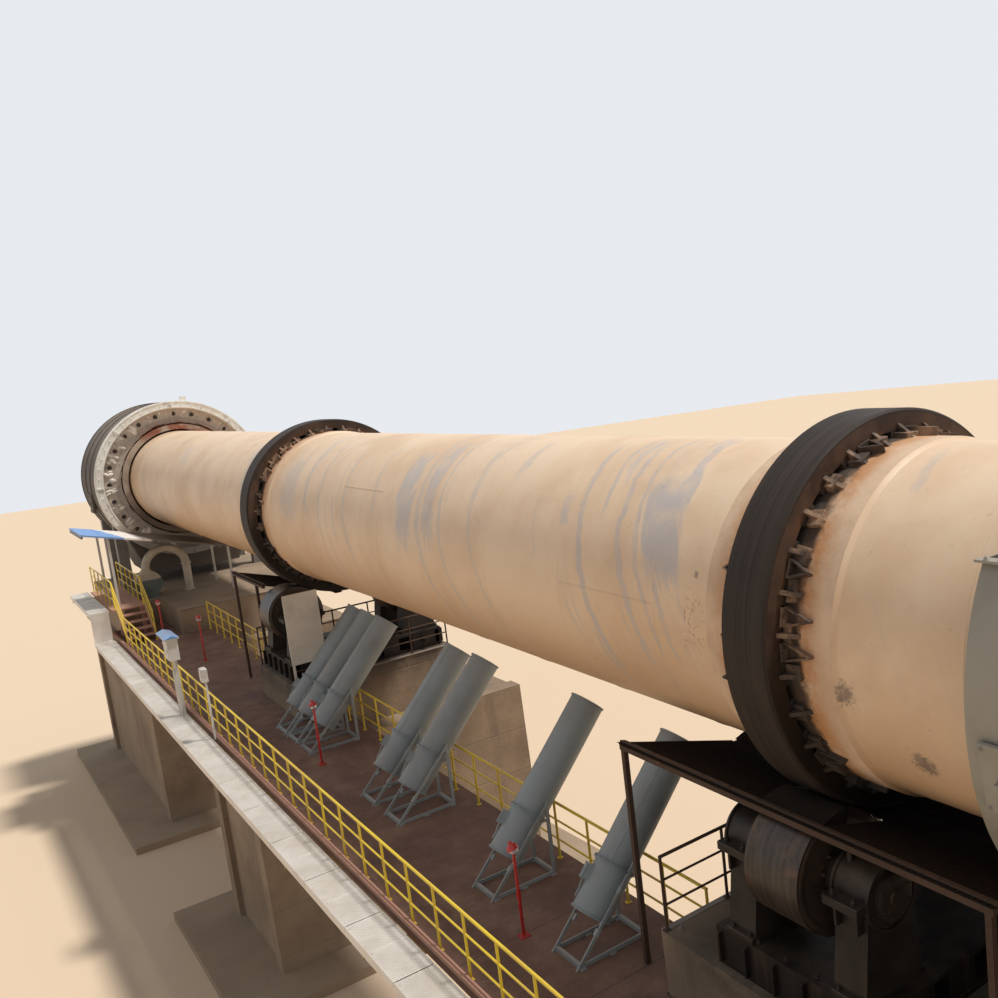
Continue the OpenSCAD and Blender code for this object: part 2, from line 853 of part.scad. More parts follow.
// Place along the ground of a point on the pier blocks' tops that is x along the kiln.
function ground_x(x) = x * cos(kiln_slope) - block_drop * sin(kiln_slope);

// All of space below a plane that follows the kiln's slope.
module below_plane(drop) {
    on_kiln()
        translate([-big / 2, -big / 2, -drop - big])
            cube([big, big, big]);
}

// Concrete body from the ground up to the deck beams, with a panel between pilasters on both sides.
module pier_body(x0, x1) {
    translate([x0 - footing_x, -pier_half_y - footing_y, 0])
        cube([x1 - x0 + 2 * footing_x, 2 * (pier_half_y + footing_y), footing_height]);
    intersection() {
        below_plane(body_drop);
        difference() {
            translate([x0, -pier_half_y, 0])
                cube([x1 - x0, 2 * pier_half_y, axis_height]);
            for (side = [-1, 1])
                translate([x0 + pilaster, side * pier_half_y - panel_depth, footing_height])
                    cube([x1 - x0 - 2 * pilaster, 2 * panel_depth, axis_height]);
        }
    }
}

module pier(range) {
    color("#a2917a")
    union() {
        pier_body(ground_x(range[0]) - pier_ledge, ground_x(range[1]) + pier_ledge);
        block(range[0], range[1], block_half_y);
    }
}

// Concrete block on a pier body, from x0 to x1 along the kiln.
module block(x0, x1, half) {
    intersection() {
        below_plane(block_drop);
        translate([ground_x(x0), -half, footing_height])
            cube([ground_x(x1) - ground_x(x0), 2 * half, axis_height]);
    }
}

module inlet_end_pier() {
    color("#a2917a")
    union() {
        pier_body(ground_x(end_block[0]) - pier_ledge, ground_x(end_block[1]) + pier_ledge);
        block(end_block[0], end_block[1], block_half_y);
        block(end_block[0], wide_outlet_x, wide_half_y);
    }
}

module end_pier(x0, x1) {
    color("#a2917a")
    pier_body(ground_x(x0), ground_x(x1));
}

// Walkway

// Sections of the upright pier blocks at the given drop, grown by gap, that the walkway goes round.
module block_holes(drop, gap) {
    for (range = concat([end_block], block_ranges))
        translate([range[0] + (drop - block_drop) * tan(kiln_slope) - gap, -block_half_y - gap])
            square([range[1] - range[0] + 2 * gap, 2 * (block_half_y + gap)]);
}

module walkway_deck() {
    color("#6b4436")
    on_kiln() {
        translate([0, 0, -deck_drop - deck_thick])
            linear_extrude(deck_thick)
                difference() {
                    translate([walk_inlet_x, -deck_near])
                        square([walk_outlet_x - walk_inlet_x, deck_near - deck_far]);
                    block_holes(deck_drop, block_gap);
                }
        translate([walk_inlet_x, -deck_near, -deck_drop - 1])
            cube([walk_outlet_x - walk_inlet_x, kerb_thick, kerb_height + 1]);
    }
}

module walkway_beams() {
    color("#57382e")
    on_kiln()
        translate([0, 0, -body_drop])
            linear_extrude(beam_height)
                difference() {
                    for (y = [-beam_near - beam_width / 2, -beam_far - beam_width])
                        translate([walk_inlet_x, y])
                            square([walk_outlet_x - walk_inlet_x, beam_width]);
                    block_holes(body_drop, block_gap);
                }
}

// The landing over the wide block, its legs, and the steps down to the deck between two stringers.
module inlet_landing() {
    rise = (deck_drop - landing_drop) / (step_count + 1);
    run_x = landing_x1 + step_count * step_run;
    step_near = rail_near - post_size;
    color("#6b4436")
    on_kiln() {
        translate([landing_x0, -deck_near, -landing_drop - landing_thick])
            cube([landing_length, deck_near - landing_far, landing_thick]);
        for (x = [landing_x0 + 100, wide_outlet_x - 200])
            translate([x, -wide_half_y, -block_drop])
                cube([60, wide_half_y - landing_far, block_drop - landing_drop - landing_thick + 1]);
        for (y = [-deck_near + 100, -landing_far - 80])
            translate([landing_x1 - 100, y, -deck_drop])
                cube([60, 60, deck_drop - landing_drop - landing_thick + 1]);
        for (i = [1 : step_count])
            translate([landing_x1 + (i - 1) * step_run - 1, -step_near, -landing_drop - i * rise - tread_thick])
                cube([step_run + 20, step_near - landing_far, tread_thick]);
        for (y = [-step_near, -landing_far - tread_thick])
            translate([0, y + tread_thick, 0])
                rotate([90, 0, 0])
                    linear_extrude(tread_thick)
                        polygon([
                            [landing_x1 - 1, -landing_drop],
                            [landing_x1 - 1, -landing_drop - rise - 2 * tread_thick],
                            [run_x - step_run / 2, -deck_drop],
                            [run_x + step_run, -deck_drop]
                        ]);
    }
}

// The rails that slope down beside the steps, from the landing's railing to the deck's.
module sloping_rails(x0, x1, y) {
    for (k = [1, 2, 3]) {
        size = k == 3 ? post_size : lower_rail;
        height = k * rail_height / 3 - size / 2 - (k == 3 ? size / 2 : 0);
        translate([0, y + size / 2, height])
            rotate([90, 0, 0])
                linear_extrude(size)
                    polygon([
                        [x0, -landing_drop],
                        [x1, -deck_drop],
                        [x1, size - deck_drop],
                        [x0, size - landing_drop]
                    ]);
    }
}

// A straight railing from x0 to x1 at y, standing at the given drop.
module railing(x0, x1, y, drop = deck_drop) {
    count = max(1, round((x1 - x0 - post_size) / post_spacing));
    step = (x1 - x0 - post_size) / count;
    translate([0, y - post_size / 2, -drop]) {
        for (i = [0 : count])
            translate([x0 + i * step, 0, 0])
                cube([post_size, post_size, rail_height]);
        translate([x0, 0, rail_height - post_size])
            cube([x1 - x0, post_size, post_size]);
        for (k = [1, 2])
            translate([x0 + 1, (post_size - lower_rail) / 2, k * rail_height / 3 - lower_rail / 2])
                cube([x1 - x0 - 2, lower_rail, lower_rail]);
    }
}

module near_railing() {
    color("#d9b21f")
    on_kiln() {
        railing(landing_x0 + 20, landing_x1 - 20, -rail_near, landing_drop);
        sloping_rails(landing_x1 - 22, steps_end_x + 1, -rail_near);
        railing(steps_end_x, walk_outlet_x - 20, -rail_near);
    }
}

module far_railing() {
    gap = 60;
    color("#c9a227")
    on_kiln() {
        railing(landing_x0 + 20, landing_x1 - 20, -landing_far - post_size, landing_drop);
        sloping_rails(landing_x1 - 22, steps_end_x + 1, -landing_far - post_size);
        railing(narrow_outlet_x + gap, block_ranges[0][0] - gap, -rail_far);
        railing(block_ranges[0][1] + gap, block_ranges[1][0] - gap, -rail_far);
        railing(block_ranges[1][1] + gap, block_ranges[2][0] - gap, -rail_far);
        railing(block_ranges[2][1] + gap, walk_outlet_x - 20, -rail_far);
    }
}

// A level run of tray with its covers, from x0 to x1 with its top at the given drop.
module tray_run(x0, x1, drop) {
    width = tray_outer - tray_inner;
    count = round((x1 - x0) / (cover_length + cover_gap));
    pitch = (x1 - x0) / count;
    along(x0, x1)
        translate([-tray_outer, -drop - tray_side])
            difference() {
                square([width, tray_side]);
                translate([tray_sheet, tray_sheet])
                    square([width - 2 * tray_sheet, tray_side]);
            }
    for (i = [0 : count - 1])
        translate([x0 + cover_gap / 2 + i * pitch, -tray_outer, -drop - 1])
            cube([pitch - cover_gap, width, tray_sheet]);
}

module cable_tray() {
    width = tray_outer - tray_inner;
    color("#8b8d8c")
    on_kiln() {
        tray_run(landing_x0, landing_x1, landing_drop);
        tray_run(landing_x1, walk_outlet_x, deck_drop);
        translate([landing_x1 - tray_sheet, -tray_outer, -deck_drop - tray_side])
            cube([2 * tray_sheet, width, deck_drop - landing_drop + tray_side + tray_sheet]);
    }
}

// Brackets under the tray: a triangle plate from the near deck beam out to the tray's edge.
module tray_brackets() {
    color("#8a7448")
    on_kiln()
        for (i = [0 : bracket_count]) {
            x = landing_x0 + 200 + i * bracket_spacing;
            on_wall = x < wide_outlet_x;
            raised = x < landing_x1;
            inner = on_wall ? wide_half_y : raised ? deck_near : beam_near + beam_width / 2;
            top = (raised ? -landing_drop : -deck_drop) - tray_side;
            low = on_wall ? top - beam_height : raised ? -deck_drop - deck_thick : -body_drop;
            along(x, x + bracket_thick)
                polygon([
                    [-inner, top],
                    [-inner, low],
                    [-inner - 40, low],
                    [-tray_outer, top - 30],
                    [-tray_outer, top]
                ]);
        }
}

// Cooling tubes

// Sets children, drawn along +Z, on a tube's centre line, which leans towards the kiln.
module on_tube(place) {
    translate([place, -tube_foot, -deck_drop + tube_rise])
        rotate([tube_lean - 90, 0, 0])
            children();
}

module cooling_tubes() {
    color("#7d8587")
    on_kiln()
        for (place = tube_places)
            on_tube(place)
                difference() {
                    union() {
                        cylinder(r = tube_r, h = tube_length);
                        translate([0, 0, seam_at])
                            cylinder(r = collar_r, h = collar_length);
                        rotate([0, 0, box_turn])
                            translate([tube_r - 20, -45, seam_at - 160])
                                cube([60, 90, 110]);
                    }
                    translate([0, 0, -1])
                        cylinder(r = tube_r - tube_sheet, h = tube_length + 2);
                }
}

// A stand: two triangular side frames whose sloping bars run along the tube, and two cross bars.
module tube_stands() {
    rise = stand_foot * tan(tube_lean);
    start = -tube_foot - tube_rise / tan(tube_lean);
    color("#868c8c")
    on_kiln()
        for (place = tube_places)
            translate([place, start, -deck_drop]) {
                for (x0 = [-collar_r - stand_thick, collar_r])
                    along(x0, x0 + stand_thick)
                        difference() {
                            polygon([[-stand_bar, 0], [stand_foot, 0], [stand_foot, rise]]);
                            polygon([
                                [stand_bar * 1.2, stand_bar],
                                [stand_foot - stand_bar, stand_bar],
                                [stand_foot - stand_bar, rise - 2.2 * stand_bar]
                            ]);
                        }
                for (y = [0, stand_foot - stand_bar])
                    translate([-collar_r - 1, y, 0])
                        cube([2 * collar_r + 2, stand_bar, stand_bar]);
            }
}

// Canopies

// Height of a roof's upper face at distance y from the kiln axis.
function roof_v(y) = -roof_drop - (roof_edge - y) * tan(roof_fall);

module roller_roofs() {
    length = (roof_edge - roof_split / 2) / cos(roof_fall);
    color("#3a2a22")
    on_kiln()
        for (i = [0 : 2])
            for (side = [0, 1])
                mirror([0, side, 0])
                    difference() {
                        along(roof_ranges[i][0], roof_ranges[i][1])
                            translate([-roof_edge, -roof_drop])
                                rotate(-roof_fall)
                                    translate([0, -roof_sheet])
                                        square([length, roof_sheet]);
                        bar_x(tyre_r + roof_gap, tyre_places[i] - tyre_width / 2 - roof_gap,
                            tyre_places[i] + tyre_width / 2 + roof_gap);
                        bar_x(roller_r + roof_gap, tyre_places[i] - roller_width / 2 - roof_gap,
                            tyre_places[i] + roller_width / 2 + roof_gap, -roller_y, roller_v);
                    }
}

// Whether x along the kiln is on station i's block.
function on_block(x, i) = x > block_ranges[i][0] && x < block_ranges[i][1];

// Post beside the inlet station's steel frame, where the frame leaves room on the block.
inlet_post_x = -tyre_spacing - frame_half_x - 40;

// Places of station i's near and far posts along the kiln.
function near_posts(i) = [roof_ranges[i][0] + 40, i == 0 ? inlet_post_x : roof_ranges[i][1] - 40];
function far_posts(i) = i == 0
    ? [block_ranges[0][0] - pier_ledge + 80, inlet_post_x]
    : [block_ranges[i][0] + 60, min(block_ranges[i][1], roof_ranges[i][1]) - 60];

// Near posts stand on the block or the deck, and far posts on the block or the pier body.
module roof_posts() {
    half = canopy_post / 2;
    edge = roof_edge - 30;
    top = roof_v(edge - half) - roof_sheet / cos(roof_fall);
    color("#4a3a30")
    on_kiln()
        for (i = [0 : 2]) {
            for (x = near_posts(i)) {
                foot = on_block(x, i) ? block_drop : deck_drop;
                translate([x - half, -edge - half, -foot])
                    cube([canopy_post, canopy_post, top + foot]);
            }
            for (x = far_posts(i)) {
                foot = on_block(x, i) ? block_drop : body_drop;
                translate([x - half, edge - half, -foot])
                    cube([canopy_post, canopy_post, top + foot]);
            }
            for (side = [-1, 1])
                translate([roof_ranges[i][0] + 10, side * edge - half, top - canopy_post])
                    cube([roof_ranges[i][1] - roof_ranges[i][0] - 20, canopy_post, canopy_post]);
        }
}

// Height of the inlet canopy's upper face at distance y before the kiln axis.
function shade_v(y) = -shade_drop - (shade_near - y) * tan(shade_fall);

module inlet_canopy() {
    lower = shade_thick / cos(shade_fall);
    near = rail_near - 90;
    color("#c4ccd4")
    on_kiln() {
        along(shade_inlet_x, shade_outlet_x)
            polygon([
                [-shade_near, shade_v(shade_near)],
                [-shade_near, shade_v(shade_near) - lower],
                [shade_reach, shade_v(-shade_reach) - lower],
                [shade_reach, shade_v(-shade_reach)]
            ]);
        for (x = [shade_inlet_x + 60, shade_outlet_x - 60 - shade_post]) {
            translate([x, -near, -landing_drop])
                cube([shade_post, shade_post, landing_drop + shade_v(near - shade_post) - lower + 1]);
            translate([x, shade_reach - 80, -block_drop])
                cube([shade_post, shade_post, block_drop + shade_v(80 - shade_reach - shade_post) - lower + 1]);
        }
    }
}

// Fan for the inlet seal on the pier block, with its arched duct and its motor.
module seal_fan() {
    foot = block_drop - duct_drop;
    color("#5f6a64")
    on_kiln()
        translate([fan_x, -fan_y, -duct_drop]) {
            rotate([90, 0, 90])
                rotate_extrude(angle = 180)
                    translate([duct_span, 0])
                        circle(r = duct_r);
            for (side = [-1, 1])
                translate([0, side * duct_span, -15])
                    cylinder(r = duct_r + 20, h = 20);
            translate([0, duct_span, -foot])
                cylinder(r = duct_r, h = foot - 5);
            translate([0, duct_span, -foot])
                cylinder(r = duct_r + 30, h = 20);
            translate([0, -duct_span, -foot + fan_r])
                cylinder(r = duct_r, h = foot - fan_r - 5);
            bar_x(fan_r, -110, 110, -duct_span, fan_r + 60 - foot);
            bar_x(fan_r - 60, 109, 130, -duct_span, fan_r + 60 - foot);
            bar_x(90, -400, -109, -duct_span, fan_r + 60 - foot);
            translate([-420, -duct_span - 160, -foot])
                cube([560, 320, 61]);
            translate([-380, -duct_span - 60, -foot])
                cube([240, 120, fan_r + 60]);
        }
}

// Railings on the ends of the roller stations' blocks.
module station_rails() {
    color("#4a3a30")
    on_kiln()
        for (range = block_ranges)
            for (x = [range[0] + 14, range[1] - 14 - post_size])
                translate([x + post_size, 0, 0])
                    rotate([0, 0, 90])
                        railing(-block_half_y + 20, block_half_y - 20, post_size / 2, block_drop);
}

// Small pieces

module red_lamps() {
    color("#b0221c")
    on_kiln()
        for (p = lamp_places)
            translate([p[0], p[1], -deck_drop]) {
                cylinder(r = lamp_pole_r, h = lamp_height);
                translate([-40, -40, 0])
                    cube([80, 80, 10]);
                translate([0, 0, lamp_height - 30])
                    rotate_extrude()
                        polygon([
                            [0, -40],
                            [lamp_hood_r, -40],
                            [lamp_hood_r * 0.8, 20],
                            [lamp_hood_r * 0.45, 60],
                            [0, 70]
                        ]);
            }
}

module switch_box() {
    bottom = -deck_drop + box_rise;
    front = -tray_inner - box_depth + 20;
    color("#d3d2cb")
    on_kiln() {
        translate([box_x, front, bottom])
            cube([box_width, box_depth, box_height]);
        translate([box_x - 30, front - 30, bottom + box_height - 1])
            cube([box_width + 60, box_depth + 50, 20]);
        translate([box_x + box_width / 2 - 20, -tray_inner - 45, -deck_drop - 1 + tray_sheet])
            cube([40, 40, box_rise + 11 - tray_sheet]);
    }
}

module shield_panel() {
    color("#c9c4b8")
    on_kiln() {
        translate([panel_from_tyre - tyre_spacing, -panel_near, -deck_drop + panel_rise])
            cube([10, panel_width, panel_height]);
        for (y = [5, panel_width - 35])
            translate([panel_from_tyre - tyre_spacing, y - panel_near, -deck_drop])
                cube([10, 30, panel_rise + 20]);
    }
}

shell(1);  // shell_1
shell(2);  // shell_2
shell(3);  // shell_3
shell(4);  // shell_4
shell(5);  // shell_5
tyre(tyre_places[0]);  // tyre_inlet
tyre(tyre_places[1]);  // tyre_middle
tyre(tyre_places[2]);  // tyre_outlet
seat(tyre_places[0]);  // seat_inlet
seat(tyre_places[1]);  // seat_middle
seat(tyre_places[2]);  // seat_outlet
girth_gear();
roller(tyre_places[0], -1);  // roller_inlet_near
roller(tyre_places[0], 1);  // roller_inlet_far
roller(tyre_places[1], -1);  // roller_middle_near
roller(tyre_places[1], 1);  // roller_middle_far
roller(tyre_places[2], -1);  // roller_outlet_near
roller(tyre_places[2], 1);  // roller_outlet_far
pinion();
roller_bearings();
roller_frames();
gear_guard();
pinion_bearings();
gearbox();
motor();
end_ring(inlet_ring_x, -1);  // inlet_ring
end_seal(inlet_ring_x, -1);  // inlet_seal
end_chamber(chamber_x0, chamber_x1, -1);  // inlet_chamber
end_ring(outlet_ring_x, 1);  // outlet_ring
end_seal(outlet_ring_x, 1);  // outlet_seal
end_chamber(hood_x0, hood_x1, 1);  // outlet_hood
chamber_legs();
inlet_end_pier();  // pier_inlet_end
pier(block_ranges[0]);  // pier_inlet
pier(block_ranges[1]);  // pier_middle
pier(block_ranges[2]);  // pier_outlet
end_pier(hood_x0 - 1200, hood_x1 + 100);  // pier_outlet_end
walkway_deck();
walkway_beams();
near_railing();
far_railing();
cable_tray();
tray_brackets();
cooling_tubes();
tube_stands();
roller_roofs();
roof_posts();
inlet_canopy();
inlet_landing();
seal_fan();
station_rails();
red_lamps();
switch_box();
shield_panel();
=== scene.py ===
"""Looks of the rotary kiln: a photograph camera, soft light, procedural materials and fine detail.

Lengths are metres. Places are (x, y, v), with x along the kiln from the middle tyre, y to the far
side and v up from the kiln's axis, and spot() turns them into the row frame.
"""
import json
import random
from math import cos, pi, radians, sin, tan, tau

import bpy
from mathutils import Matrix, Vector


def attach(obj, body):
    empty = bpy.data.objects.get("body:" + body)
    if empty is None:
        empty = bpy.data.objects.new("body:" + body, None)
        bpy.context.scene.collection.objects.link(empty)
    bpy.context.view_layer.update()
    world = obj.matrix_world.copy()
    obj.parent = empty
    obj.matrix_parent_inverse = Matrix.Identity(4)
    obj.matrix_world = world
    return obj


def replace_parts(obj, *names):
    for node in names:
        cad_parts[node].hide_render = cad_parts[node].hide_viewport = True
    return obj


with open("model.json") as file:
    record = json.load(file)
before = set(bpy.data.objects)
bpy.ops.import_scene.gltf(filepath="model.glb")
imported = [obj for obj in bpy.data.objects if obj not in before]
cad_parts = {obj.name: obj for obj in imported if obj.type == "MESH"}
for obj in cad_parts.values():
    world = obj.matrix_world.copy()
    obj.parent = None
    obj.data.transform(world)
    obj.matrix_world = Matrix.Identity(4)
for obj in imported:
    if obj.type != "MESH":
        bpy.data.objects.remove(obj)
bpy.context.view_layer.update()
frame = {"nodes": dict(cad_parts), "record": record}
rng = random.Random(7)


def moved(x, y, z):
    return Matrix.Translation((x, y, z))


def turned(angle, axis="Z"):
    return Matrix.Rotation(angle, 4, axis)


# Kiln axis
AXIS_HEIGHT = 5.4
SLOPE = radians(2.0)
KILN = moved(0, 0, AXIS_HEIGHT) @ turned(SLOPE, "Y")

# Drum
TYRE_R = 1.185
TYRE_BORE = 1.062
TYRES = {"inlet": -9.75, "middle": 0.0, "outlet": 9.75}

# Rollers
ROLLER_R = 0.36
ROLLER_ANGLE = radians(30)
ROLLER_Y = (TYRE_R + ROLLER_R) * sin(ROLLER_ANGLE)
ROLLER_V = -(TYRE_R + ROLLER_R) * cos(ROLLER_ANGLE)

# Walkway
DECK_V = -2.6
DECK_END = 13.18
LANDING_V = -2.05
RAIL_NEAR = -2.0
RAIL_FAR = -0.64
RAIL_LANDING = -1.524
RAIL_HEIGHT = 0.534
RAILS = ((RAIL_HEIGHT - 0.012, 0.012), (RAIL_HEIGHT * 2 / 3, 0.0085), (RAIL_HEIGHT / 3, 0.0085))
POST_R = 0.0112
POST_SPACING = 0.5

# Burnt spots on the shell: along the kiln, turn from the top, size
SCORCHES = ((0.54, -1.73, 0.085), (0.94, -2.04, 0.09), (-0.62, -1.25, 0.03), (1.15, -0.36, 0.05))

# Blue-grey areas and stripes on the shell: along the kiln, half width, turn from the top,
# half turn, strength
BARE = (
    (-8.45, 0.26, -1.10, 0.40, 0.45), (-7.80, 0.05, -0.80, 0.60, 0.60), (-7.35, 0.03, -1.00, 0.80, 0.50),
    (-6.55, 0.04, -1.15, 0.70, 0.50), (-5.72, 0.03, -0.90, 0.50, 0.40), (-4.95, 0.16, -1.00, 0.50, 0.75),
    (-4.62, 0.04, -1.20, 1.10, 0.55), (-4.41, 0.12, -0.85, 0.55, 0.70), (-4.15, 0.03, -1.25, 1.05, 0.50),
    (-3.55, 0.03, -1.20, 0.90, 0.45), (-2.95, 0.06, -0.45, 0.25, 0.50), (-2.08, 0.05, -0.95, 0.12, 0.60),
    (-1.87, 0.032, -1.15, 1.00, 0.70), (-1.60, 0.022, -0.50, 0.40, 0.60), (-1.48, 0.05, -0.40, 0.30, 0.60),
    (-1.36, 0.035, -1.10, 1.00, 0.65), (-1.17, 0.022, -1.00, 0.95, 0.60), (-0.76, 0.05, -0.50, 0.42, 0.75),
    (-0.93, 0.16, -0.97, 0.38, 0.85), (-1.02, 0.022, -1.50, 0.35, 0.60), (-6.1, 0.05, 1.2, 0.9, 0.6),
    (-3.1, 0.12, 1.4, 0.6, 0.7), (-1.7, 0.05, 1.0, 0.9, 0.6), (4.2, 0.10, 1.1, 0.8, 0.6),
    (6.6, 0.06, -0.9, 0.9, 0.6), (5.1, 0.12, 2.4, 0.6, 0.6), (-5.2, 0.05, 2.5, 0.9, 0.6),
    (-2.3, 0.14, 3.0, 0.5, 0.6), (-10.45, 0.16, -0.95, 0.50, 0.55), (-14.6, 0.30, -0.80, 0.20, 0.25),
    (-17.6, 0.05, -1.1, 0.7, 0.45), (0.97, 0.03, -0.42, 0.20, 0.4), (9.6, 0.08, -1.2, 0.6, 0.5),
    (11.7, 0.12, 1.9, 0.5, 0.6),
)

# Gear and pinion
GEAR_X = 1.64
PINION_Y = 0.6067
PINION_V = -1.2439

# Roofs: start and end along the kiln, and the roller's place where the sheet is open
ROOFS = ((-11.64, -10.05, None), (-1.57, 1.38, 0.0), (8.37, 11.32, 9.75))
ROOF_FALL = radians(17.5)
ROOF_EDGE = 1.03
ROOF_EDGE_V = -0.958
ROOF_SLOT = 0.018
HOOD_HALF = 0.243

# Cooling tubes, with their lean in degrees
TUBES = (-8.75, -8.3, -7.8, -5.81, -5.18, -3.26, -1.98)
TUBE_Y = -1.16
TUBE_R = 0.149
TUBE_LEAN = 47.5

# Concrete
END_BLOCK = (-21.13, -15.7)
BLOCKS = [(-10.53, -8.97), (-1.17, 4.1), (8.97, 10.53)]
BLOCK_TOP = -2.15

# End rings: place along the kiln and the way they face
RINGS = (("inlet", -19.19, 1), ("outlet", 14.2, -1))

# Lamps: place on the deck and turn
LAMPS = ((-15.5, -1.45, 0.3), (-13.35, -1.25, -0.4), (-7.2, -1.4, 0.2), (-2.48, -1.46, 0.5))

# Switch box and shield panel
SWITCH_X = -10.7
SWITCH_FRONT = -2.12 - 0.13 + 0.02
SWITCH_LOW = DECK_V + 0.81
PANEL = (-8.94, -1.09, DECK_V + 0.73)

# Inlet canopy and seal fan
CANOPY = (-18.25, -2.31, -0.6)
CANOPY_LEAN = radians(15)
PURLIN_START = -18.23
FAN = (-17.7, -0.85, -1.6)

# Photograph
PHOTO_SIZE = 998
FOCAL_PIXELS = 986.5
CENTRE_PIXEL = 665
EYE = (3.866, -4.503, 1.634)
VIEW_AZIMUTH = radians(143.04)
VIEW_ELEVATION = radians(-8.43)
VIEW_ROLL = radians(5.67)


# Camera and light

def make_camera():
    """Camera at the photograph's place, with its frame shifted as the photograph was cropped."""
    look = Vector((cos(VIEW_ELEVATION) * cos(VIEW_AZIMUTH),
                   cos(VIEW_ELEVATION) * sin(VIEW_AZIMUTH),
                   sin(VIEW_ELEVATION)))
    level_right = look.cross(Vector((0, 0, 1))).normalized()
    level_up = level_right.cross(look)
    up = level_up * cos(VIEW_ROLL) + level_right * sin(VIEW_ROLL)
    right = look.cross(up)
    turn = Matrix((right, up, -look)).transposed().to_4x4()
    data = bpy.data.cameras.new("photo_camera")
    data.sensor_fit = "HORIZONTAL"
    data.sensor_width = 36.0
    data.lens = 36.0 * FOCAL_PIXELS / PHOTO_SIZE
    data.shift_x = 0.5 - CENTRE_PIXEL / PHOTO_SIZE
    data.clip_end = 500
    camera = bpy.data.objects.new("photo_camera", data)
    camera.matrix_world = spot(*EYE) @ turn
    bpy.context.scene.collection.objects.link(camera)
    bpy.context.scene.camera = camera


def make_light():
    """A high, nearly overhead sun with soft edges, and an even pale world."""
    sun = bpy.data.lights.new("sun", "SUN")
    sun.energy = 3.0
    sun.angle = radians(6)
    sun.color = (1.0, 0.97, 0.92)
    lamp = bpy.data.objects.new("sun", sun)
    lamp.rotation_euler = (radians(-19.5), radians(15), 0)
    bpy.context.scene.collection.objects.link(lamp)
    world = bpy.data.worlds.new("pale_world")
    world.use_nodes = True
    nodes = world.node_tree.nodes
    links = world.node_tree.links
    nodes.clear()
    out = nodes.new("ShaderNodeOutputWorld")
    mix = nodes.new("ShaderNodeMixShader")
    sky = nodes.new("ShaderNodeBackground")
    seen = nodes.new("ShaderNodeBackground")
    for node, colour, strength in ((sky, (0.94, 0.96, 1.0), 0.42), (seen, (0.80, 0.83, 0.87), 1.0)):
        node.inputs["Color"].default_value = (*colour, 1)
        node.inputs["Strength"].default_value = strength
    path = nodes.new("ShaderNodeLightPath")
    either = nodes.new("ShaderNodeMath")
    either.operation = "MAXIMUM"
    links.new(path.outputs["Is Camera Ray"], either.inputs[0])
    links.new(path.outputs["Is Glossy Ray"], either.inputs[1])
    links.new(either.outputs[0], mix.inputs[0])
    links.new(sky.outputs[0], mix.inputs[1])
    links.new(seen.outputs[0], mix.inputs[2])
    links.new(mix.outputs[0], out.inputs[0])
    bpy.context.scene.world = world
    bpy.context.scene.view_settings.view_transform = "Standard"


def make_floor():
    """Plain pale ground plane."""
    size = 150
    mesh = bpy.data.meshes.new("floor")
    corners = [(-size, -size, 0), (size, -size, 0), (size, size, 0), (-size, size, 0)]
    mesh.from_pydata(corners, [], [(0, 1, 2, 3)])
    floor = bpy.data.objects.new("floor", mesh)
    bpy.context.scene.collection.objects.link(floor)
    material = bpy.data.materials.new("pale_floor")
    material.use_nodes = True
    shader = material.node_tree.nodes["Principled BSDF"]
    shader.inputs["Base Color"].default_value = (0.70, 0.545, 0.39, 1)
    shader.inputs["Roughness"].default_value = 0.9
    mesh.materials.append(material)


# Node helpers

def operator(operation, other_first=False):
    """Python operator that adds a Math node."""
    def act(self, other):
        first, second = (other, self) if other_first else (self, other)
        return self.nodes.maths(operation, first, second)
    return act


class Value:
    """What a node gives, ready for plain arithmetic."""

    def __init__(self, nodes, socket):
        self.nodes = nodes
        self.socket = socket

    __add__ = operator("ADD")
    __radd__ = operator("ADD", True)
    __sub__ = operator("SUBTRACT")
    __rsub__ = operator("SUBTRACT", True)
    __mul__ = operator("MULTIPLY")
    __truediv__ = operator("DIVIDE")


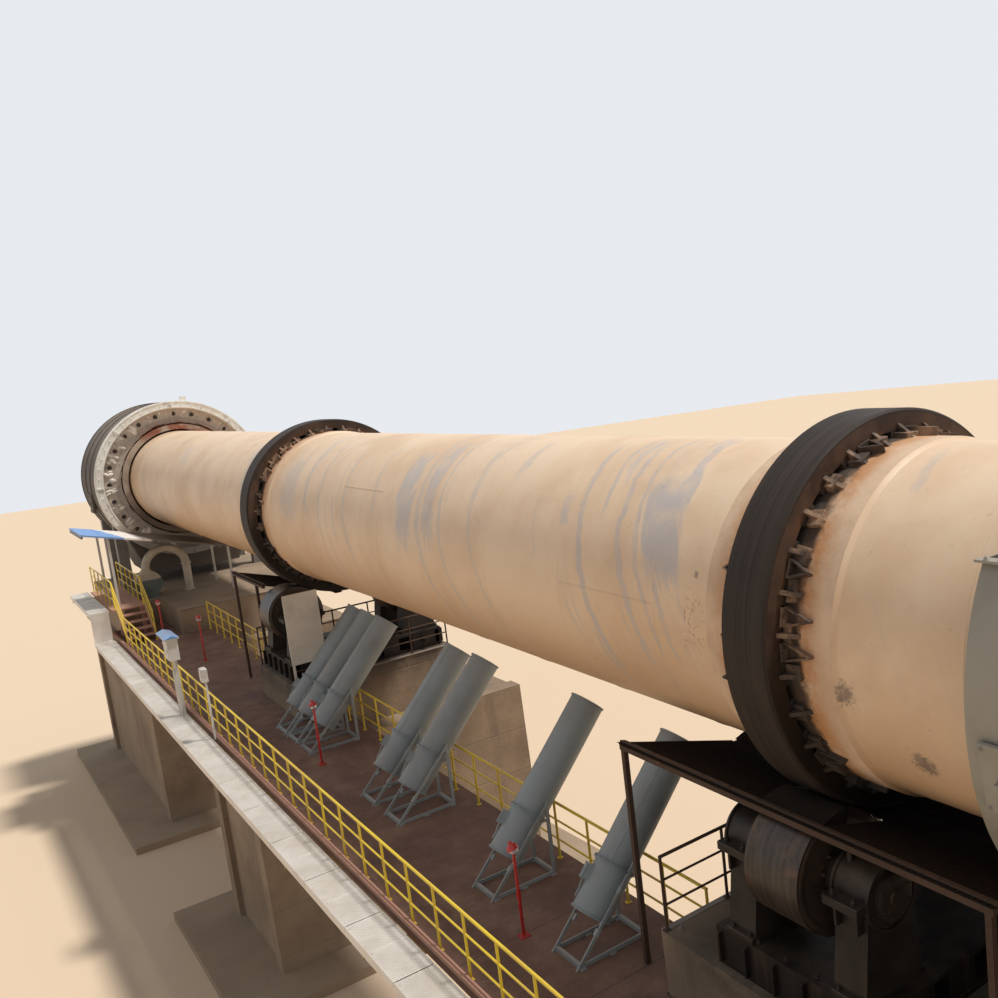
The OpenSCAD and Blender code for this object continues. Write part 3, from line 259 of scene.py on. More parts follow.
class Nodes:
    """Builds one material's node tree in short steps."""

    def __init__(self, name):
        self.material = bpy.data.materials.new(name)
        self.material.use_nodes = True
        self.tree = self.material.node_tree
        self.shader = self.tree.nodes["Principled BSDF"]
        self.place = self.node("TexCoord", {}, "Object")

    def node(self, kind, inputs, output=0, **settings):
        """New node with its settings and inputs, as the value of one of its outputs."""
        made = self.tree.nodes.new("ShaderNode" + kind)
        for name, value in settings.items():
            setattr(made, name, value)
        for index, value in inputs.items():
            self.set(made.inputs[index], value)
        return Value(self, made.outputs[output])

    def set(self, socket, value):
        """Gives an input a link, a colour or a plain value."""
        if isinstance(value, Value):
            self.tree.links.new(value.socket, socket)
        elif socket.type == "RGBA":
            socket.default_value = (*value, 1)
        else:
            socket.default_value = value

    def maths(self, operation, a, b=0.0, clamp=False):
        return self.node("Math", {0: a, 1: b}, operation=operation, use_clamp=clamp)

    def kiln_place(self):
        """(x along the kiln, y, v, radius, angle) from the object coordinates."""
        from_axis = self.node("VectorMath", {0: self.place, 1: (0, 0, AXIS_HEIGHT)},
                              operation="SUBTRACT")
        x, y, v = (self.node("VectorMath", {0: from_axis, 1: way}, "Value", operation="DOT_PRODUCT")
                   for way in ((cos(SLOPE), 0, -sin(SLOPE)), (0, 1, 0), (sin(SLOPE), 0, cos(SLOPE))))
        return x, y, v, self.maths("SQRT", y * y + v * v), self.maths("ARCTAN2", y, v)

    def vector(self, x, y, z):
        return self.node("CombineXYZ", {0: x, 1: y, 2: z})

    def scaled(self, scale):
        """Object coordinates with a scale of their own in each direction."""
        return self.node("VectorMath", {0: self.place, 1: scale}, operation="MULTIPLY")

    def height(self, vector):
        return self.node("SeparateXYZ", {0: vector}, 2)

    def noise(self, scale, detail, rough, vector=None, distortion=0.0):
        inputs = {"Vector": vector or self.place, "Scale": scale, "Detail": detail,
                  "Roughness": rough, "Distortion": distortion}
        return self.node("TexNoise", inputs, "Fac")

    def cells(self, scale):
        return self.node("TexVoronoi", {"Vector": self.place, "Scale": scale}, "Distance")

    def ramp(self, value, low, high):
        """0 below low, 1 above high, smooth between."""
        return self.node("MapRange", {0: value, 1: low, 2: high}, interpolation_type="SMOOTHSTEP")

    def fall(self, value, low, high):
        """1 below low, 0 above high, smooth between."""
        return 1.0 - self.ramp(value, low, high)

    def patches(self, low, high, *noise):
        """0 where a noise is below low and 1 where it is above high."""
        return self.ramp(self.noise(*noise), low, high)

    def band(self, value, centre, half, soft):
        """1 within half of centre, falling to 0 over soft."""
        return self.fall(self.maths("ABSOLUTE", value - centre), half, half + soft)

    def stations(self, x, half, soft):
        """1 within half of a tyre, falling to 0 over soft."""
        inlet, middle, outlet = (self.band(x, place, half, soft) for place in TYRES.values())
        return inlet + middle + outlet

    def off_middle(self, value):
        """Distance from the middle of each whole step of value."""
        return self.maths("ABSOLUTE", self.maths("FRACT", value) - 0.5)

    def facing_up(self):
        """1 on faces that look up, 0 on walls and undersides."""
        return self.ramp(self.height(self.node("NewGeometry", {}, "Normal")), 0.15, 0.85)

    def mix(self, factor, first, second):
        """Colour between first and second."""
        return self.node("Mix", {0: factor, 6: first, 7: second}, 2, data_type="RGBA")

    def two_tone(self, scale, first, second):
        """Large uneven areas of two colours."""
        return self.mix(self.patches(0.35, 0.7, scale, 6, 0.65), first, second)

    def finish(self, colour, rough, metallic, bump, strength, distance, specular=0.5):
        """Sets the shader, with a bump of the given strength and height in metres."""
        normal = self.node("Bump", {"Strength": strength, "Distance": distance, "Height": bump})
        for name, value in (("Base Color", colour), ("Roughness", rough), ("Metallic", metallic),
                            ("Specular IOR Level", specular), ("Normal", normal)):
            self.set(self.shader.inputs[name], value)
        return self.material


DUST = (0.50, 0.36, 0.24)
RUST = (0.22, 0.09, 0.04)


def worn_paint(name, colour, dust=0.5, rust=0.25, rough=0.55, grain=1.0, specular=0.5):
    """Plant paint: uneven colour, dust on what faces up, rust spots and small chips."""
    n = Nodes(name)
    dark = tuple(c * 0.68 for c in colour)
    large = n.noise(1.3 * grain, 5, 0.6)
    fine = n.noise(22 * grain, 6, 0.65)
    base = n.mix(n.ramp(large, 0.35, 0.7), colour, dark)
    spots = n.maths("MULTIPLY", n.patches(0.60, 0.70, 9 * grain, 8, 0.7), rust * 2.2, clamp=True)
    base = n.mix(spots, base, RUST)
    lying = n.maths("MULTIPLY", n.facing_up(), n.ramp(large, 0.25, 0.75) * dust, clamp=True)
    film = n.maths("MULTIPLY", n.ramp(fine, 0.4, 0.8), dust * 0.35, clamp=True)
    base = n.mix(n.maths("MAXIMUM", lying, film), base, DUST)
    roughness = n.maths("ADD", rough, (fine - 0.5) * 0.4, clamp=True)
    return n.finish(base, roughness, 0.0, fine, 0.12, 0.004, specular)


def shell_paint():
    """Sun-bleached peach shell: blue-grey streaks, rust freckles, burnt spots, and painted shade darkening
    the underside.
    """
    n = Nodes("shell_paint")
    x, _, v, radius, angle = n.kiln_place()
    peach = (0.77, 0.585, 0.41)
    sand = (0.68, 0.475, 0.305)
    # Broad colour, longer round the shell than along it
    round_way = n.vector(x * 1.1, angle * 0.9, radius)
    broad = n.noise(1.0, 5, 0.6, round_way)
    base = n.mix(n.ramp(broad, 0.38, 0.68), peach, sand)
    # Painted shade: the lower side of the shell is darkened towards brown
    under = n.ramp(v * -1.0, -0.10, 0.90)
    base = n.mix(under * 0.75, base, (0.52, 0.31, 0.16))
    # Blue-grey areas and stripes that lean along the kiln near the top, with ragged ends
    lean = v / radius * 0.42
    bent = x + (lean - 0.08)
    wander = n.noise(1.0, 4, 0.6, n.vector(bent * 1.2, angle * 1.8, 3.0))
    bent_line = bent + (wander - 0.5) * 0.22
    rag = n.noise(1.0, 7, 0.7, n.vector(bent * 13.0, angle * 2.2, 5.0), 0.3)
    bare = 0.0
    for place, half, turn, half_turn, strength in BARE:
        edge = bent_line + (rag - 0.5) * (half * 2.6)
        side = n.band(edge, place, half * 0.75, half * 0.5)
        along = angle + (rag - 0.5) * (half_turn * 1.6)
        end = n.band(along, turn, half_turn * 0.7, half_turn * 0.45)
        bare = n.maths("MAXIMUM", bare, side * end * strength)
    between = n.ramp(x, -9.4, -8.9) * n.fall(x, -0.9, -0.5)
    line_way = n.vector(bent_line * 11.0, angle * 0.9, 0.0)
    lines = n.patches(0.53, 0.70, 1.0, 5, 0.6, line_way, 0.2) * (between * 0.75 + 0.25)
    lines = lines * n.patches(0.42, 0.62, 0.8, 3, 0.5, n.vector(x, angle, 9.0))
    worn = n.patches(0.25, 0.6, 6, 6, 0.65)
    streaks = n.maths("MAXIMUM", bare * (worn * 0.50 + 0.38), lines * 0.50)
    base = n.mix(streaks, base, (0.41, 0.40, 0.42))
    # Fine rust cracks low on the near side beside the middle tyre
    crack_way = n.vector(x * 9.0, angle * 7.0, 2.0)
    crack = n.band(n.noise(1.0, 3, 0.5, crack_way, 0.9), 0.5, 0.003, 0.010)
    cracked = n.band(x + rag * 0.2, -0.55, 0.05, 0.12) * n.band(angle, -1.55, 0.06, 0.22)
    base = n.mix(crack * cracked * 0.8, base, (0.30, 0.10, 0.05))
    # Rust freckles and fine scratches
    freckle = n.patches(0.625, 0.68, 15, 8, 0.8)
    base = n.mix(freckle * 0.7, base, (0.22, 0.10, 0.055))
    scrape_way = n.vector(x * 5.0, angle * 42.0, 7.0)
    scrape = n.patches(0.70, 0.76, 1.0, 4, 0.6, scrape_way, 0.4)
    base = n.mix(scrape * 0.35, base, (0.36, 0.24, 0.16))
    scratch = n.patches(0.62, 0.75, 1.0, 8, 0.7, n.vector(x * 60.0, angle * 3.0, 0.0))
    base = n.mix(scratch * 0.07, base, (0.36, 0.20, 0.12))
    # Scorched spots, and brown smudges all round
    for place, turn, size in SCORCHES:
        away = n.maths("SQRT", n.maths("POWER", x - place, 2.0)
                       + n.maths("POWER", angle - turn, 2.0))
        ragged = away + (n.noise(34, 8, 0.8) - 0.5) * (size * 4.0)
        spot_mask = n.fall(ragged, size * 0.35, size * 0.95)
        base = n.mix(spot_mask * 0.8, base, (0.16, 0.125, 0.11))
    smudge = n.patches(0.52, 0.72, 1.0, 6, 0.65, n.vector(x * 1.1, angle * 1.6, 4.0))
    base = n.mix(smudge * 0.30, base, (0.48, 0.33, 0.22))
    fine = n.noise(55, 5, 0.6)
    height = fine * 0.35
    rough = 0.52 + streaks * -0.10
    return n.finish(base, rough, 0.0, height, 0.25, 0.004)


def tyre_steel():
    """Dark oiled forging: brown-black side, two wear lines on the rim, rusty patches near the bore, and
    painted shade on the lower half of the side.
    """
    n = Nodes("tyre_steel")
    x, _, v, radius, angle = n.kiln_place()
    broad = n.noise(2.2, 6, 0.65)
    base = n.mix(n.ramp(broad, 0.35, 0.7), (0.040, 0.025, 0.018), (0.105, 0.062, 0.042))
    rim = n.ramp(radius, TYRE_R - 0.03, TYRE_R - 0.012)
    ring_way = n.vector(x * 14.0, angle * 0.8, 0.0)
    turning = n.noise(1.0, 5, 0.6, ring_way)
    worn = n.mix(n.ramp(turning, 0.35, 0.7), (0.024, 0.016, 0.012), (0.038, 0.026, 0.020))
    base = n.mix(rim, base, worn)
    for place in TYRES.values():
        for offset in (-0.045, 0.035):
            line = n.band(x, place + offset, 0.004, 0.004) * rim
            base = n.mix(line * 0.8, base, (0.012, 0.010, 0.010))
    near_bore = n.fall(radius, TYRE_BORE + 0.01, TYRE_BORE + 0.09)
    rusty = near_bore * n.patches(0.42, 0.6, 6, 7, 0.7)
    base = n.mix(rusty * 0.55, base, (0.15, 0.07, 0.035))
    # Painted shade: the side faces are darkened nearly to black towards the bottom
    low = n.ramp(v * -1.0, -0.35, 0.45) * (1.0 - rim)
    base = n.mix(low * 0.9, base, (0.010, 0.007, 0.005))
    fine = n.noise(40, 6, 0.65)
    rough = 0.48 + broad * 0.3
    return n.finish(base, rough, 0.0, fine, 0.18, 0.003, 0.22)


def seat_steel():
    """Pads and stop brackets: dusty orange-tan over dark steel, with painted shade under the tyre and on
    the lower side, and grease with painted shade beside the tyre.
    """
    n = Nodes("seat_steel")
    x, _, v, radius, _ = n.kiln_place()
    dusty = n.mix(n.patches(0.42, 0.60, 2.6, 6, 0.7), (0.34, 0.21, 0.13), (0.055, 0.033, 0.023))
    # Painted shade: pads and stops darken nearly to black towards the bottom
    painted_low_shade = n.ramp(v * -1.0, -0.30, 0.30)
    dusty = n.mix(painted_low_shade * 0.92, dusty, (0.026, 0.018, 0.014))
    spots = n.patches(0.5, 0.66, 16, 7, 0.7)
    base = n.mix(spots * 0.55, dusty, (0.06, 0.04, 0.03))
    # Painted shade and grease: a dark band on the pads under each tyre
    gap = n.stations(x, 0.17, 0.03)
    base = n.mix(gap * 0.85, base, (0.02, 0.014, 0.011))
    band = n.fall(radius, 1.0225, 1.026)
    plain = n.two_tone(3, (0.70, 0.51, 0.36), (0.56, 0.39, 0.26))
    away = 1.0 - gap
    near = n.stations(x, 0.30, 0.16)
    plain = n.mix(near * n.patches(0.25, 0.62, 5, 7, 0.7), plain, (0.50, 0.24, 0.10))
    base = n.mix(band * away, base, plain)
    # Grease and painted shade: a dark ragged band on the seat next to each tyre
    ragged = (n.noise(9, 6, 0.7) - 0.5) * 0.16
    grease = n.stations(x + ragged, 0.235, 0.07)
    base = n.mix(band * grease * 0.93, base, (0.026, 0.018, 0.014))
    return n.finish(base, 0.75, 0.0, n.noise(35, 6, 0.65), 0.35, 0.006)


def roller_steel():
    """Dark turned steel with fine banding and brown patches."""
    n = Nodes("roller_steel")
    ring = n.noise(1.0, 5, 0.6, n.scaled((38, 2, 2)))
    base = n.mix(n.ramp(ring, 0.35, 0.7), (0.060, 0.046, 0.037), (0.022, 0.016, 0.013))
    base = n.mix(n.patches(0.5, 0.68, 5, 6, 0.7) * 0.7, base, (0.12, 0.06, 0.03))
    return n.finish(base, 0.40, 0.35, n.noise(60, 4, 0.6), 0.08, 0.002)


def oily_iron(name, colour, metallic):
    """Machine iron under oil and blown dust."""
    n = Nodes(name)
    base = n.two_tone(3, colour, tuple(c * 0.45 for c in colour))
    runs = n.noise(1.0, 5, 0.6, n.scaled((9, 9, 1.2)))
    base = n.mix(n.ramp(runs, 0.52, 0.7) * 0.6, base, (0.05, 0.035, 0.025))
    dusty = n.facing_up() * n.patches(0.3, 0.7, 4, 5, 0.6)
    base = n.mix(dusty * 0.25, base, (0.22, 0.15, 0.10))
    return n.finish(base, 0.5, metallic, n.noise(30, 6, 0.65), 0.25, 0.004, 0.3)


def ring_paint():
    """Pale grey split ring, chalky, with dust in its plate and painted shade towards the bottom."""
    n = Nodes("ring_paint")
    _, _, v, radius, _ = n.kiln_place()
    pale = n.mix(n.patches(0.3, 0.7, 2.0, 6, 0.65), (0.89, 0.87, 0.82), (0.77, 0.74, 0.67))
    plate = n.fall(radius, 1.47, 1.495)
    base = n.mix(plate * 0.8, pale, (0.47, 0.385, 0.31))
    dirty = n.patches(0.5, 0.7, 7, 7, 0.7)
    base = n.mix(dirty * 0.45, base, (0.22, 0.17, 0.13))
    # Painted shade: the lower part of the ring is darkened
    low = n.fall(v, -1.35, -0.70)
    base = n.mix(low * 0.75, base, (0.12, 0.10, 0.085))
    return n.finish(base, 0.7, 0.0, n.noise(28, 6, 0.65), 0.3, 0.006)


def concrete():
    """Board-marked concrete: lift lines, pale patches, dark runs below the walkway, dusty foot, and oil
    stains with painted shade at the roller stations.
    """
    n = Nodes("concrete")
    height = n.height(n.place)
    base = n.mix(n.patches(0.35, 0.68, 0.9, 7, 0.65), (0.31, 0.23, 0.155), (0.195, 0.14, 0.096))
    lifts = n.off_middle(height / 0.62)
    lift = n.fall(lifts, 0.0, 0.02)
    base = n.mix(lift * 0.45, base, (0.20, 0.16, 0.12))
    runs = n.noise(1.0, 6, 0.65, n.scaled((3.2, 3.2, 0.35)))
    base = n.mix(n.ramp(runs, 0.55, 0.72) * 0.55, base, (0.16, 0.12, 0.095))
    x, _, v, _, _ = n.kiln_place()
    # Oil stains and painted shade: block tops and upper sides at the roller stations darken nearly to
    # black
    station = n.stations(x, 0.75, 0.5)
    oil = n.ramp(v, -2.60, -2.17) * (n.patches(0.3, 0.6, 2.4, 6, 0.65) * 0.5 + 0.4)
    base = n.mix(station * oil, base, (0.050, 0.038, 0.030))
    foot = n.fall(height, 0.1, 0.7)
    base = n.mix(foot * 0.5, base, (0.42, 0.32, 0.22))
    pores = n.cells(26)
    grain = n.noise(18, 8, 0.7)
    bump = grain - lift * 0.7 + n.ramp(pores, 0.0, 0.25) * 0.35
    return n.finish(base, 0.88, 0.0, bump, 0.5, 0.012)


def deck_paint():
    """Brown deck plates with dust drifts and a plate joint every metre."""
    n = Nodes("deck_paint")
    x, _, v, _, _ = n.kiln_place()
    base = n.two_tone(1.8, (0.120, 0.060, 0.042), (0.19, 0.105, 0.070))
    joint = n.off_middle(x)
    gap = n.fall(joint, 0.0, 0.012)
    base = n.mix(gap * 0.8, base, (0.05, 0.03, 0.025))
    drift = n.facing_up() * n.patches(0.45, 0.68, 2.6, 6, 0.7)
    base = n.mix(drift * 0.42, base, (0.30, 0.19, 0.13))
    kerb = n.ramp(v, DECK_V + 0.004, DECK_V + 0.02)
    base = n.mix(kerb * 0.85, base, (0.50, 0.27, 0.20))
    return n.finish(base, 0.75, 0.0, n.noise(30, 5, 0.6) - gap, 0.3, 0.005)


def tray_zinc():
    """Mesh-topped tray covers: pale grey, with a fine diamond mesh in the bump and colour, and painted
    shade in its openings.
    """
    n = Nodes("tray_zinc")
    x, y, _, _, _ = n.kiln_place()
    across = (x + y) * 34.0
    along = (x - y) * 34.0
    mesh_a = n.off_middle(across)
    mesh_b = n.off_middle(along)
    strand = n.fall(n.maths("MINIMUM", mesh_a, mesh_b), 0.08, 0.16)
    up = n.facing_up()
    base = n.two_tone(1.4, (0.78, 0.73, 0.67), (0.64, 0.59, 0.53))
    # Painted shade: the mesh openings on upward faces are darkened
    hole = (1.0 - strand) * up
    base = n.mix(hole * 0.32, base, (0.16, 0.15, 0.14))
    dusty = up * n.patches(0.42, 0.66, 3, 6, 0.7)
    base = n.mix(dusty * 0.55, base, (0.50, 0.44, 0.36))
    return n.finish(base, 0.55, 0.3, strand * up, 0.35, 0.003)


def rail_yellow():
    """Yellow railing paint, faded unevenly, with small rust chips."""
    n = Nodes("rail_yellow")
    base = n.mix(n.patches(0.35, 0.7, 1.6, 5, 0.6), (0.80, 0.58, 0.03), (0.62, 0.42, 0.05))
    chips = n.patches(0.64, 0.70, 17, 8, 0.7)
    base = n.mix(chips * 0.7, base, (0.25, 0.12, 0.04))
    return n.finish(base, 0.42, 0.0, n.noise(45, 5, 0.6), 0.1, 0.002)


def seal_paint():
    """Dusty beige seal leaves, red-brown where the sun has burnt the upper ones, with painted shade on the
    lower ones.
    """
    n = Nodes("seal_paint")
    _, _, v, _, _ = n.kiln_place()
    base = n.two_tone(4, (0.46, 0.37, 0.29), (0.30, 0.22, 0.16))
    top = n.ramp(v, 0.75, 1.05) * n.patches(0.38, 0.52, 3, 5, 0.6)
    base = n.mix(top, base, (0.27, 0.085, 0.05))
    # Painted shade: the lower leaves are darkened
    low = n.fall(v, -0.8, -0.1)
    base = n.mix(low * 0.75, base, (0.07, 0.05, 0.04))
    return n.finish(base, 0.8, 0.0, n.noise(30, 6, 0.65), 0.3, 0.004)


def canopy_paint():
    """Blue-white sheet, bluest at the inlet end, with the kiln's shadow painted dark brown towards the
    kiln.
    """
    n = Nodes("canopy_paint")
    x, y, v, _, _ = n.kiln_place()
    inward = y - (x + 18.25) * 0.16
    inward = inward + (n.noise(4.0, 6, 0.7) - 0.5) * 0.35
    base = n.mix(n.ramp(inward, -1.90, -1.84), (0.20, 0.36, 0.68), (0.80, 0.76, 0.72))
    # Painted shadow: the part of the sheet towards the kiln is dark brown, for the kiln's shadow
    base = n.mix(n.ramp(inward, -1.48, -1.40), base, (0.155, 0.125, 0.105))
    base = n.mix(n.patches(0.6, 0.7, 14, 7, 0.7) * 0.5, base, (0.30, 0.24, 0.19))
    plane = y * -0.268 + -1.219
    post = n.ramp(plane - v, 0.033, 0.036)
    base = n.mix(post, base, (0.55, 0.52, 0.47))
    return n.finish(base, 0.45, 0.0, n.noise(40, 5, 0.6), 0.1, 0.002)


def fan_paint():
    """Dark green-grey fan with a beige arched duct."""
    n = Nodes("fan_paint")
    _, y, v, _, _ = n.kiln_place()
    duct = n.maths("MAXIMUM", n.ramp(v, -1.80, -1.78), n.ramp(y, -0.75, -0.72))
    body = n.two_tone(2.4, (0.12, 0.15, 0.135), (0.07, 0.08, 0.07))
    pale = n.two_tone(3.1, (0.60, 0.54, 0.43), (0.46, 0.38, 0.29))
    base = n.mix(duct, body, pale)
    base = n.mix(n.facing_up() * n.patches(0.4, 0.7, 5, 6, 0.7), base, (0.40, 0.30, 0.21))
    base = n.mix(n.patches(0.62, 0.7, 12, 8, 0.7) * 0.6, base, RUST)
    return n.finish(base, 0.55, 0.0, n.noise(35, 6, 0.6), 0.15, 0.003)


def lamp_glass():
    """Dusty clear glass."""
    n = Nodes("lamp_glass")
    film = n.patches(0.35, 0.7, 30, 5, 0.6)
    base = n.mix(film, (0.80, 0.84, 0.86), (0.62, 0.60, 0.56))
    n.shader.inputs["Transmission Weight"].default_value = 0.35
    return n.finish(base, 0.08 + film * 0.3, 0.0, film, 0.05, 0.001)


# Materials with a function of their own
OWN_PAINTS = (shell_paint, tyre_steel, seat_steel, roller_steel, ring_paint, seal_paint, concrete,
              deck_paint, rail_yellow, tray_zinc, canopy_paint, fan_paint, lamp_glass)

# Oily irons: colour, metallic
OILY_IRONS = {
    "gear_steel": ((0.10, 0.075, 0.055), 0.6),
    # bearing_iron and frame_steel are near-black: painted shade for the roller stations
    "bearing_iron": ((0.036, 0.028, 0.023), 0.3),
    "frame_steel": ((0.020, 0.015, 0.013), 0.3),
}

# Worn paints: colour, dust, rust, roughness, grain, specular
WORN_PAINTS = {
    "guard_paint": ((0.315, 0.295, 0.25), 0.25, 0.06),
    "gearbox_paint": ((0.20, 0.28, 0.31), 0.5, 0.1, 0.45),
    "motor_paint": ((0.10, 0.20, 0.34), 0.5, 0.1, 0.4),
    # chamber_steel is darkened as painted shade
    "chamber_steel": ((0.115, 0.095, 0.080), 0.35, 0.3, 0.75, 0.7),
    "leg_steel": ((0.20, 0.18, 0.17), 0.5, 0.3),
    "beam_paint": ((0.20, 0.10, 0.075), 0.5, 0.3, 0.7),
    "bracket_paint": ((0.46, 0.34, 0.15), 0.5, 0.35, 0.7),
    "tube_paint": ((0.26, 0.305, 0.325), 0.28, 0.10, 0.5, 0.8),
    "stand_paint": ((0.33, 0.37, 0.38), 0.4, 0.2, 0.55),
    # roof_paint is near-black: partly its black paint and partly painted shade under the kiln
    "roof_paint": ((0.028, 0.021, 0.018), 0.02, 0.10, 0.9, 1.0, 0.08),
    # post_paint is dark brown, darkened as painted shade for the station railings and roof flashing
    "post_paint": ((0.080, 0.048, 0.034), 0.08, 0.4, 0.75, 1.0, 0.25),
    "lamp_red": ((0.52, 0.02, 0.02), 0.15, 0.03, 0.3),
    "box_paint": ((0.72, 0.70, 0.65), 0.3, 0.1, 0.4),
    "panel_paint": ((0.76, 0.71, 0.63), 0.3, 0.15, 0.6),
    "dust_lumps": ((0.90, 0.84, 0.75), 0.08, 0.0, 0.9, 3.0),
    "blue_sheet": ((0.16, 0.32, 0.58), 0.25, 0.05, 0.45),
    "tie_holes": ((0.20, 0.16, 0.125), 0.2, 0.1, 0.9),
}


def make_paints():
    """Makes every material and gives each CAD node the one of its slot."""
    made = {function.__name__: function() for function in OWN_PAINTS}
    made.update({name: oily_iron(name, *look) for name, look in OILY_IRONS.items()})
    made.update({name: worn_paint(name, *look) for name, look in WORN_PAINTS.items()})
    for part in frame["record"]["subparts"]:
        for slot in frame["nodes"][part["node"]].material_slots:
            slot.material = made[part["material_slot"]]
    return made


# Mesh building

def spot(x, y, v):
    """Axes of the kiln frame with their origin at (x, y, v)."""
    return KILN @ moved(x, y, v)


def on_drum(x, angle, r):
    """Axes on a drum of radius r: X along the kiln, Y round it and Z outward."""
    return KILN @ turned(angle, "X") @ moved(x, 0, r)


def around(place, count, offset=0.0):
    """Even turns round the place's Z."""
    for i in range(count):
        yield place @ turned(tau * (i + offset) / count)


def corners(x, y):
    return ((-x, -y), (x, -y), (-x, y), (x, y))


LYING = turned(pi / 2, "Y")


class Shape:
    """Collects the faces of one detail piece."""

    def __init__(self):
        self.points = []
        self.faces = []

    def add(self, place, points, faces):
        start = len(self.points)
        self.points += [place @ Vector(p) for p in points]
        self.faces += [[start + i for i in face] for face in faces]

    def loft(self, place, rings, round_trip=False):
        """Skin over closed rings of points, capped at both ends unless it runs round to its start."""
        n = len(rings[0])
        count = len(rings)
        points = [p for ring in rings for p in ring]
        faces = []
        for k in range(count if round_trip else count - 1):
            a = k * n
            b = (k + 1) % count * n
            faces += [[a + i, a + (i + 1) % n, b + (i + 1) % n, b + i] for i in range(n)]
        if not round_trip:
            faces += [list(range(n))[::-1], [(count - 1) * n + i for i in range(n)]]
        self.add(place, points, faces)

    def block(self, place, low, high, cut=0.0):
        """Box from low to high with its upright and upper edges cut."""
        (x0, y0, z0), (x1, y1, z1) = low, high
        c = cut or 0.12 * min(x1 - x0, y1 - y0, z1 - z0)

        def ring(z, inset):
            a, b, d, e = x0 + inset, x1 - inset, y0 + inset, y1 - inset
            return [(a + c, d, z), (b - c, d, z), (b, d + c, z), (b, e - c, z),
                    (b - c, e, z), (a + c, e, z), (a, e - c, z), (a, d + c, z)]
        self.loft(place, [ring(z0, 0), ring(z1 - c, 0), ring(z1, 0.8 * c)])

    def lathe(self, place, profile, sides=24):
        """Turns (radius, height) points round the place's Z."""
        rings = []
        for r, z in profile:
            rings.append([(r * cos(tau * i / sides), r * sin(tau * i / sides), z)
                          for i in range(sides)])
        self.loft(place, rings)

    def hoop(self, place, section, sides=96):
        """Closed (radius, height) section turned round the place's Z."""
        rings = []
        for i in range(sides):
            c, s = cos(tau * i / sides), sin(tau * i / sides)
            rings.append([(r * c, r * s, z) for r, z in section])
        self.loft(place, rings, True)

    def ring(self, place, r0, r1, z0, z1, sides=48):
        """Plain ring between two radii and two heights."""
        self.hoop(place, [(r0, z0), (r1, z0), (r1, z1), (r0, z1)], sides)

    def plate(self, place, x, y, thick, cut):
        """Plate that reaches x and y either way and stands on the place's floor."""
        self.block(place, (-x, -y, 0), (x, y, thick), cut)

    def eye(self, place, r=0.03, bar=0.008):
        """Half ring for lifting, across the place's X."""
        path = [(0, r * cos(t * pi / 6), r * sin(t * pi / 6)) for t in range(7)]
        self.tube(place, path, bar)

    def tube(self, place, path, r, sides=8):
        """Round bar along the points of path."""
        path = [Vector(p) for p in path]
        side = None
        rings = []
        for k, point in enumerate(path):
            way = (path[min(k + 1, len(path) - 1)] - path[max(k - 1, 0)]).normalized()
            if side is None:
                side = way.orthogonal().normalized()
            side = (side - way * side.dot(way)).normalized()
            other = way.cross(side)
            rings.append([point + r * (cos(tau * i / sides) * side + sin(tau * i / sides) * other)
                          for i in range(sides)])
        self.loft(place, rings)

    def bolt(self, place, r=0.011, height=0.009):
        """Hexagon head on a washer, with a stub of thread."""
        self.lathe(place, [(r * 1.35, -0.002), (r * 1.35, 0.002), (r * 1.2, 0.003)], 12)
        self.lathe(place, [(r, 0.002), (r, height * 0.85), (r * 0.85, height)], 6)
        self.lathe(place, [(r * 0.5, height * 0.8), (r * 0.5, height * 1.5), (r * 0.35, height * 1.65)], 8)

    def piece(self, name, body, slot, paint=None):
        """Makes the object, painted, riding on its body."""
        mesh = bpy.data.meshes.new(name)
        mesh.from_pydata(self.points, [], self.faces)
        mesh.validate()
        mesh.polygons.foreach_set("use_smooth", [True] * len(mesh.polygons))
        mesh.set_sharp_from_angle(angle=radians(34))
        made = bpy.data.objects.new(name, mesh)
        bpy.context.scene.collection.objects.link(made)
        mesh.materials.append(paint or paints[slot])
        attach(made, body)
        return made


# Drum details

def stop_block(shape, place, side, i):
    """A stop block beside a tyre and, beside most of them, a bent strap on its foot."""
    angle = radians(12 * i)
    long = rng.uniform(0.055, 0.11)
    tilt = turned(rng.uniform(-0.12, 0.12))
    base = on_drum(place + side * 0.1785, angle + rng.uniform(-0.015, 0.015), 1.018) @ tilt
    x0, x1 = sorted((0.0, side * long))
    wide = rng.uniform(0.044, 0.062)
    shape.block(base, (x0, -wide, 0), (x1, wide, rng.uniform(0.026, 0.05)), 0.003)
    if rng.random() < 0.62:
        reach = side * rng.uniform(0.13, 0.2)
        turn = angle + radians(6) + rng.uniform(-0.02, 0.02)
        strap = on_drum(place + side * 0.182, turn, 1.021)
        lean = rng.uniform(-0.03, 0.03)
        high = 0.034 + 0.02 * (i % 4 == 1)
        for a, b in (((0, -0.055), (reach, lean)), ((reach, lean), (0, 0.05))):
            way = Vector((b[0] - a[0], b[1] - a[1], 0))
            bar = moved(*a, 0) @ way.to_track_quat("X", "Z").to_matrix().to_4x4()
            shape.block(strap @ bar, (0, -0.006, 0), (way.length, 0.006, high), 0.0015)
        x0, x1 = sorted((0.0, side * 0.012))
        shape.block(strap, (x0, -0.055, 0), (x1, 0.05, 0.06), 0.002)


